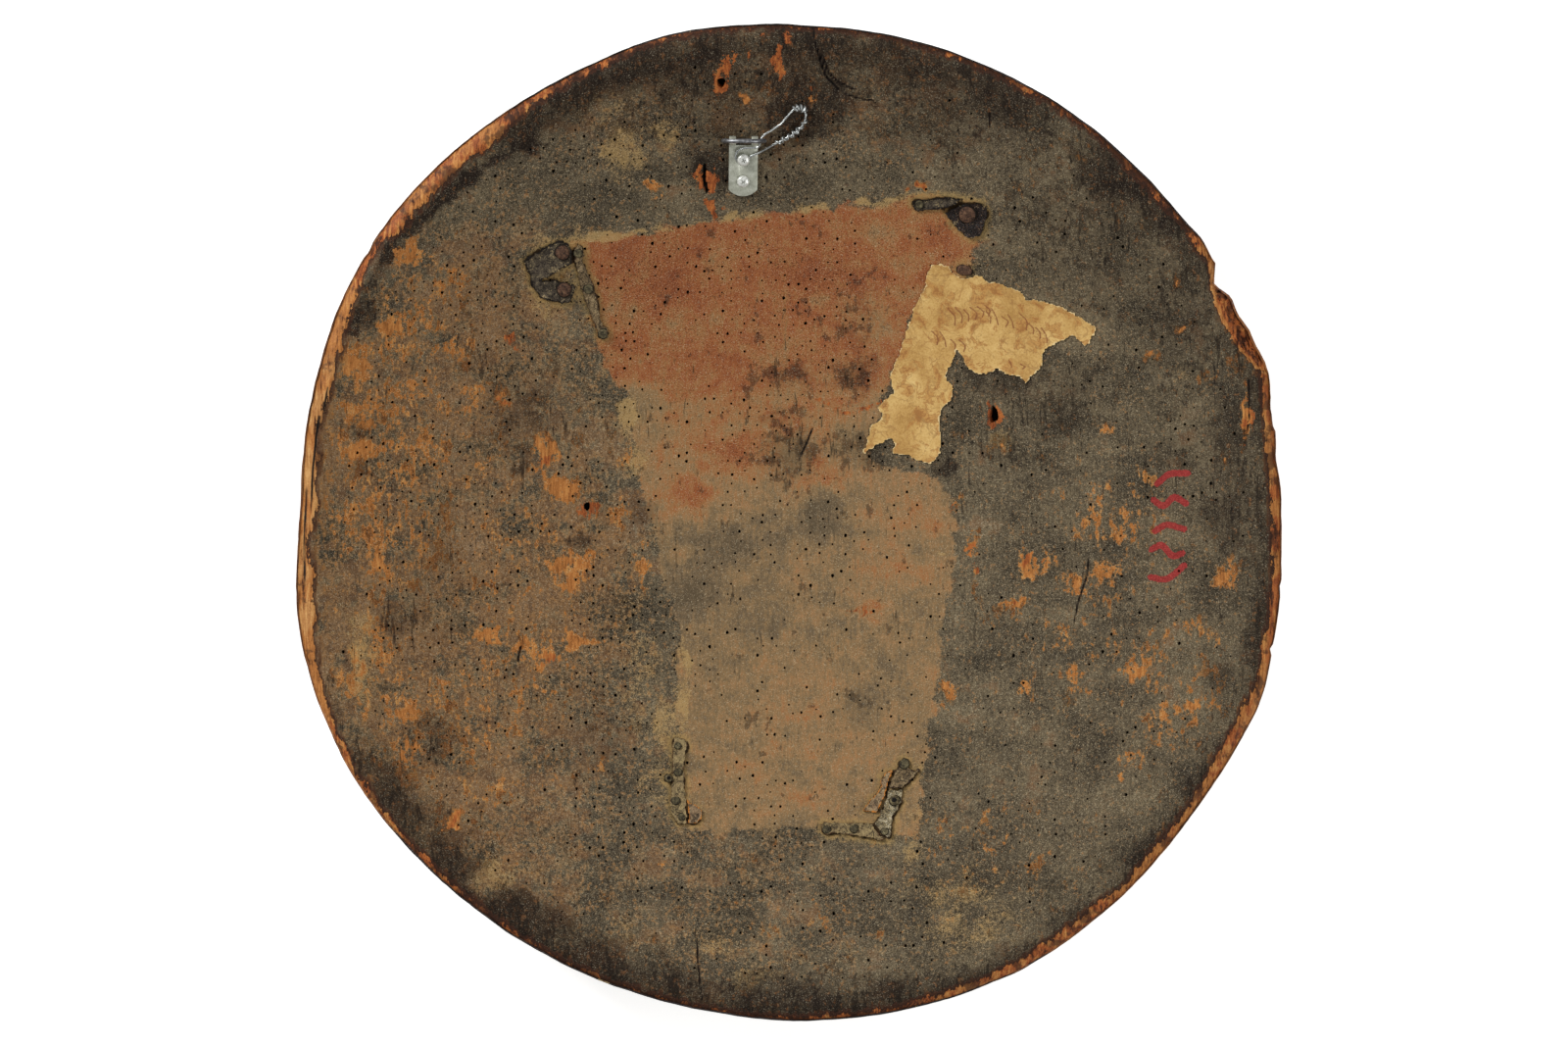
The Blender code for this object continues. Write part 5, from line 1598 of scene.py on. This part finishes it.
new_piece("torn_label", bm, paper, 50.0, stands_for=("paper_label",), slot="label_paper")


# The nails and tacks: wrought iron, their heads hammered flat by hand, driven through the
# leather. Rusted brown and pitted, the rims of their heads painted dark as shade; the wood round
# them carries a thin near-black ring of painted shade and dirt.

SEAT = 1.55
# The nails: name, place, radius of the head (mm), how oval it is, its turn in degrees, its seat.
NAILS = (
    ("nail_upper_left_1", -128, 152.8, 4.5, 1, 0, SEAT),
    ("nail_upper_left_2", -127.1, 132, 4.5, 1, 0, SEAT),
    ("nail_upper_right_1", 100.9, 174.2, 5.3, 1, 0, SEAT),
    ("nail_upper_right_2", 99.3, 142.7, 4.7, 0.7, -12, 0.4),
    ("nail_lower_left", -68.1, -144.5, 2.5, 1, 0, SEAT),
    ("nail_lower_right", 59.8, -157, 3.2, 1, 0, SEAT),
)
# The tacks: name, place and radius of the head (mm).
TACKS = (
    ("tack_upper_left_1", -119.1, 152.3, 2.7),
    ("tack_upper_left_2", -113.4, 132.3, 3),
    ("tack_upper_left_3", -105.2, 107.2, 3),
    ("tack_upper_right", 73.8, 180, 2.6),
    ("tack_lower_left_1", -62.9, -126.2, 2.1),
    ("tack_lower_left_2", -62.7, -141.1, 2.4),
    ("tack_lower_left_3", -64, -157.1, 2.6),
    ("tack_lower_left_4", -60.6, -166.2, 2.2),
    ("tack_lower_right_1", 21.4, -173.4, 2.5),
    ("tack_lower_right_2", 37, -172.9, 2.6),
    ("tack_lower_right_3", 54.3, -174.5, 2.4),
    ("tack_lower_right_4", 65.5, -136.4, 3.1),
)
# Radius and length of their shanks (mm).
NAIL_SHANK = (1.4, 7.0)
TACK_SHANK = (0.8, 5.0)
# Half sections of their heads: shares of the radius, and heights (mm).
NAIL_PROFILE = (
    (0, 1.75), (0.25, 1.72), (0.5, 1.6), (0.7, 1.35), (0.86, 1.05), (0.97, 0.62), (1, 0.25),
    (0.93, 0),
)
TACK_PROFILE = (
    (0, 0.72), (0.35, 0.74), (0.6, 0.78), (0.82, 0.7), (0.97, 0.42), (1, 0.15), (0.93, 0),
)


def turned(profile, steps):
    """A round solid from its profile: pairs of radius and height in mm, from top to foot."""
    bm = bmesh.new()
    verts = [bm.verts.new((reach * MM, 0.0, height * MM)) for reach, height in profile]
    for pair in zip(verts, verts[1:]):
        bm.edges.new(pair)
    spin(bm, steps, 1e-7)
    bmesh.ops.recalc_face_normals(bm, faces=bm.faces)
    return bm


def forged(name, x, y, head, profile, shank, length, seat, material, oval=1.0, turn=0.0):
    """A hand-made nail at its place on the back; its head is out of round and dented."""
    outline = [(head * share, height) for share, height in profile]
    bm = turned(outline + [(shank, -0.1), (shank, -0.6 * length), (0.0, -length)], 28)
    rough = random.Random(name)
    phase = [rough.uniform(0.0, math.tau) for _ in range(3)]
    for vert in bm.verts:
        if vert.co.z < -0.05 * MM:
            continue
        angle = math.atan2(vert.co.y, vert.co.x)
        share = math.hypot(vert.co.x, vert.co.y) / (head * MM)
        lobes = 0.07 * math.sin(2.0 * angle + phase[0]) + 0.05 * math.sin(3.0 * angle + phase[1])
        round_off = 1.0 + share * lobes + 0.03 * share * math.sin(7.0 * angle + phase[2])
        vert.co.x *= round_off
        vert.co.y *= round_off * oval
        dent = noise.noise((vert.co.x / MM / 1.6, vert.co.y / MM / 1.6, phase[0]))
        vert.co.z += 0.28 * MM * dent * (1.0 if vert.co.z > 0.2 * MM else 0.3)
    on_head = [vert.co.z > -0.05 * MM for vert in bm.verts]
    shares = [vert.co.to_2d().length / (head * MM) for vert in bm.verts]
    keep(bm, outward=[share if upper else 1.2 for share, upper in zip(shares, on_head)])
    tilt = Matrix.Rotation(0.05 * math.sin(phase[1]), 4, "X")
    lean = tilt @ Matrix.Rotation(math.radians(turn), 4, "Z")
    stand = back_frame(x * MM, y * MM) @ Matrix.Translation((0.0, 0.0, seat * MM)) @ lean
    bmesh.ops.transform(bm, matrix=stand, verts=bm.verts)
    return new_piece("iron_" + name, bm, material, 45.0, stands_for=(name,), slot="rusty_iron")


def old_iron(name, colours, roughness, crater=0.0):
    """Wrought iron under a layer of rust and dirt: matt, pitted at about 1 mm."""
    iron, place = new_material(name)
    grain = {"outward": add_node(iron, "ShaderNodeAttribute", {}, "Fac", attribute_name="outward")}
    of_iron = partial(blend, iron, grain)
    for part, scale in (("coarse", 380.0), ("pitted", 1200.0)):
        noise_inputs = {"Vector": place, "Scale": scale, "Detail": 5.0, "Roughness": 0.7}
        grain[part] = add_node(iron, "ShaderNodeTexNoise", noise_inputs)
    rust = of_iron(coarse=0.6, pitted=0.4)
    stops = tuple(zip((0.36, 0.44, 0.5, 0.56, 0.66), colours))
    rust_colour = cover(
        iron,
        add_node(iron, "ShaderNodeValToRGB", {"Fac": rust}, stops=stops),
        (
            # Painted shade: the edge of each head, and its shank, darkened near black.
            (of_iron(outward=1.0, coarse=0.5), 1.08, 1.2, "0d0906", 0.95),
            (of_iron(coarse=-0.6, pitted=-0.4), -0.42, -0.38, "0f0a07", 0.8),
            (of_iron(crater, outward=-1.0, coarse=0.9), 0.4, 0.46, "0a0705", 1.0),
        ),
    )
    bumps = {"Height": rust, "Strength": 0.9, "Distance": 0.5 * MM}
    finish_shader(
        iron,
        {
            "Base Color": rust_colour,
            "Specular IOR Level": 0.15,
            "Metallic": 0.05,
            "Roughness": roughness,
            "Normal": add_node(iron, "ShaderNodeBump", bumps),
        },
    )
    return iron


# The nails have rusted red-brown; the tacks are dull olive-grey under waxy dirt.
rusty_iron = old_iron(
    "rusted_wrought_iron", ("17110d", "342720", "4e382b", "664a39", "887053"), 0.75
)
dull_iron = old_iron("dirty_tack_iron", ("17130e", "302a1f", "494230", "61583f", "8c8261"), 0.7)

# The heads of the two lower nails have rusted through in the middle.
hollow_iron = old_iron(
    "rusted_through_iron", ("1c1710", "3a3224", "5a4f38", "766a4c", "9a8e6a"), 0.7, 0.42
)
for name, x, y, head, oval, turn, seat in NAILS:
    iron = hollow_iron if "lower" in name else rusty_iron
    forged(name, x, y, head, NAIL_PROFILE, *NAIL_SHANK, seat, iron, oval, turn)
for name, x, y, head in TACKS:
    forged(name, x, y, head, TACK_PROFILE, *TACK_SHANK, SEAT - 0.1, dull_iron)


# The hanger's strap and screws: pressed sheet steel 1.1 mm thick, rolled round the ring's bar
# into two ears, and two cross-head wood screws. Zinc plated, grey-green, with fine scratches.

EDGE_ROUND = 0.18 * MM
# The screws: their place up the strap, seat height (mm), and the angles of their slots.
SCREWS = (("upper", 5.4, 3.7, (20.0, 110.0)), ("lower", -7.6, 2.0, (42.0, 132.0)))
SLOT_SIZE = (4.2 * MM, 0.85 * MM, 2.6 * MM)
SLOT_HEIGHT = 2.05 * MM
# Half section of a screw: radii and heights (mm), from the top of its head to its point.
SCREW_PROFILE = (
    (0, 2), (0.6, 1.99), (1.2, 1.95), (1.75, 1.86), (2.3, 1.7), (2.75, 1.47), (3.1, 1.18),
    (3.35, 0.8), (3.47, 0.4), (3.5, 0.12), (3.42, 0), (1.75, 0), (1.75, -5.4), (0, -9),
)

zinc, place = new_material("zinc_plated_steel")
brushed = add_node(
    zinc,
    "ShaderNodeMapping",
    {"Vector": place, "Rotation": (0.0, 0.0, 0.5), "Scale": (1.0, 0.08, 1.0)},
)
spangle = add_node(zinc, "ShaderNodeTexNoise", {"Vector": place, "Scale": 260.0, "Detail": 5.0})
scratches = add_node(
    zinc, "ShaderNodeTexNoise", {"Vector": brushed, "Scale": 2600.0, "Detail": 3.0}
)
plate = blend(zinc, {"spangle": spangle, "scratches": scratches}, spangle=0.6, scratches=0.4)
plate_stops = ((0.3, "8b8d80"), (0.47, "b0b2a2"), (0.56, "bfc1b2"), (0.7, "dedfd2"))
plate_rough = {"Value": plate, "From Min": 0.3, "From Max": 0.7, "To Min": 0.6, "To Max": 0.36}
scratch_bumps = {"Height": scratches, "Strength": 0.25, "Distance": 0.05 * MM}
finish_shader(
    zinc,
    {
        "Base Color": add_node(zinc, "ShaderNodeValToRGB", {"Fac": plate}, stops=plate_stops),
        "Metallic": 0.55,
        "Roughness": add_node(zinc, "ShaderNodeMapRange", plate_rough),
        "Normal": add_node(zinc, "ShaderNodeBump", scratch_bumps),
    },
)

# The screws' zinc is painted near white: a painted highlight standing in for the glint on their
# heads.
screw_zinc_painted_glint, place = new_material("screw_zinc_with_painted_glint")
glint_noise = add_node(screw_zinc_painted_glint, "ShaderNodeTexNoise", {"Vector": place, "Scale": 900.0, "Detail": 4.0})
glint_stops = ((0.3, "b5b7ae"), (0.5, "dcddd6"), (0.7, "f2f2ec"))
finish_shader(
    screw_zinc_painted_glint,
    {
        "Base Color": add_node(screw_zinc_painted_glint, "ShaderNodeValToRGB", {"Fac": glint_noise}, stops=glint_stops),
        "Metallic": 0.35,
        "Roughness": 0.3,
    },
)

bm = bmesh.new()
bm.from_mesh(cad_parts["hanger_strap"].data)
bmesh.ops.remove_doubles(bm, verts=bm.verts, dist=1e-6)
bmesh.ops.dissolve_limit(bm, angle_limit=math.radians(1.5), verts=bm.verts, edges=bm.edges)
corners = []
for e in bm.edges:
    if len(e.link_faces) == 2 and e.calc_face_angle() > math.radians(50.0):
        corners.append(e)
bmesh.ops.bevel(
    bm,
    geom=corners,
    offset=EDGE_ROUND,
    segments=2,
    affect="EDGES",
    profile=0.5,
    material=-1,
    clamp_overlap=True,
)
new_piece("strap_plate", bm, zinc, 35.0, stands_for=("hanger_strap",), slot="zinc_plate")

for name, place_y, seat, turns in SCREWS:
    bm = turned(SCREW_PROFILE, 48)
    stand = back_frame(HANGER_X, HANGER_Y) @ Matrix.Translation((0.0, place_y * MM, seat * MM))
    bmesh.ops.transform(bm, matrix=stand, verts=bm.verts)
    node = f"hanger_screw_{name}"
    screw = new_piece(f"screw_{name}", bm, screw_zinc_painted_glint, 35.0, stands_for=(node,), slot="zinc_plate")
    for turn in turns:
        bm = bmesh.new()
        bmesh.ops.create_cube(bm, size=1.0)
        bmesh.ops.scale(bm, verts=bm.verts, vec=SLOT_SIZE)
        for vert in bm.verts:
            if vert.co.z < 0.0:
                vert.co.x *= 0.42
                vert.co.y *= 0.55
        slot_turn = Matrix.Rotation(math.radians(turn), 4, "Z")
        slot_place = stand @ Matrix.Translation((0.0, 0.0, SLOT_HEIGHT)) @ slot_turn
        bmesh.ops.transform(bm, matrix=slot_place, verts=bm.verts)
        cutter_mesh = bpy.data.meshes.new("cross_slot")
        bm.to_mesh(cutter_mesh)
        bm.free()
        cutter = new_object("cross_slot", cutter_mesh)
        cut = screw.modifiers.new("slot", "BOOLEAN")
        cut.operation = "DIFFERENCE"
        cut.object = cutter
        cut.solver = "EXACT"
        bpy.context.view_layer.update()
        carved = screw.evaluated_get(bpy.context.evaluated_depsgraph_get())
        carved_mesh = bpy.data.meshes.new_from_object(carved)
        screw.modifiers.clear()
        screw.data = carved_mesh
        bpy.data.objects.remove(cutter)


# The ring: a D of 2.5 mm round steel wire on the strap's two ears, free to swing, its surface
# gone dark. It rides its own body.

# Sizes in mm, and the lean in degrees.
RING_HALF_WIDTH = 11.55
RING_LEG = 3.5
RING_REACH = 13.5
RING_CORNER = 2.0
RING_LEAN = 15.0
BAR_Y = 16.6
BAR_HEIGHT = 3.25
RING_WIRE = 2.5

half = []
for k in range(13):
    turn = math.radians(-90.0 + 7.5 * k)
    across = RING_HALF_WIDTH - RING_CORNER + RING_CORNER * math.cos(turn)
    half.append((across, RING_CORNER + RING_CORNER * math.sin(turn)))
for k in range(1, 24):
    turn = math.radians(90.0 * k / 24.0)
    out = RING_LEG + (RING_REACH - RING_LEG) * math.sin(turn)
    half.append((RING_HALF_WIDTH * math.cos(turn), out))
route = half + [(0.0, RING_REACH)] + [(-x, z) for x, z in reversed(half)]
bar = back_frame(HANGER_X, HANGER_Y) @ Matrix.Translation((0.0, BAR_Y * MM, BAR_HEIGHT * MM))
hinge = bar @ Matrix.Rotation(math.radians(-RING_LEAN), 4, "X")
path = [hinge @ Vector((x * MM, 0.0, z * MM)) for x, z in route]

steel, place = new_material("darkened_steel_wire")
dulled = add_node(
    steel,
    "ShaderNodeTexNoise",
    {"Vector": place, "Scale": 420.0, "Detail": 5.0, "Roughness": 0.7},
)
ring_stops = ((0.32, "4a4b4c"), (0.5, "7b7c7e"), (0.66, "a9aaac"))
ring_rough = {"Value": dulled, "To Min": 0.6, "To Max": 0.3}
finish_shader(
    steel,
    {
        "Base Color": add_node(steel, "ShaderNodeValToRGB", {"Fac": dulled}, stops=ring_stops),
        "Metallic": 0.8,
        "Roughness": add_node(steel, "ShaderNodeMapRange", ring_rough),
    },
)
ring_rod = rod(path, RING_WIRE / 2.0 * MM, 24, closed=True)
new_piece("d_ring", ring_rod, steel, body="ring", stands_for=("hanger_ring",), slot="ring_steel")
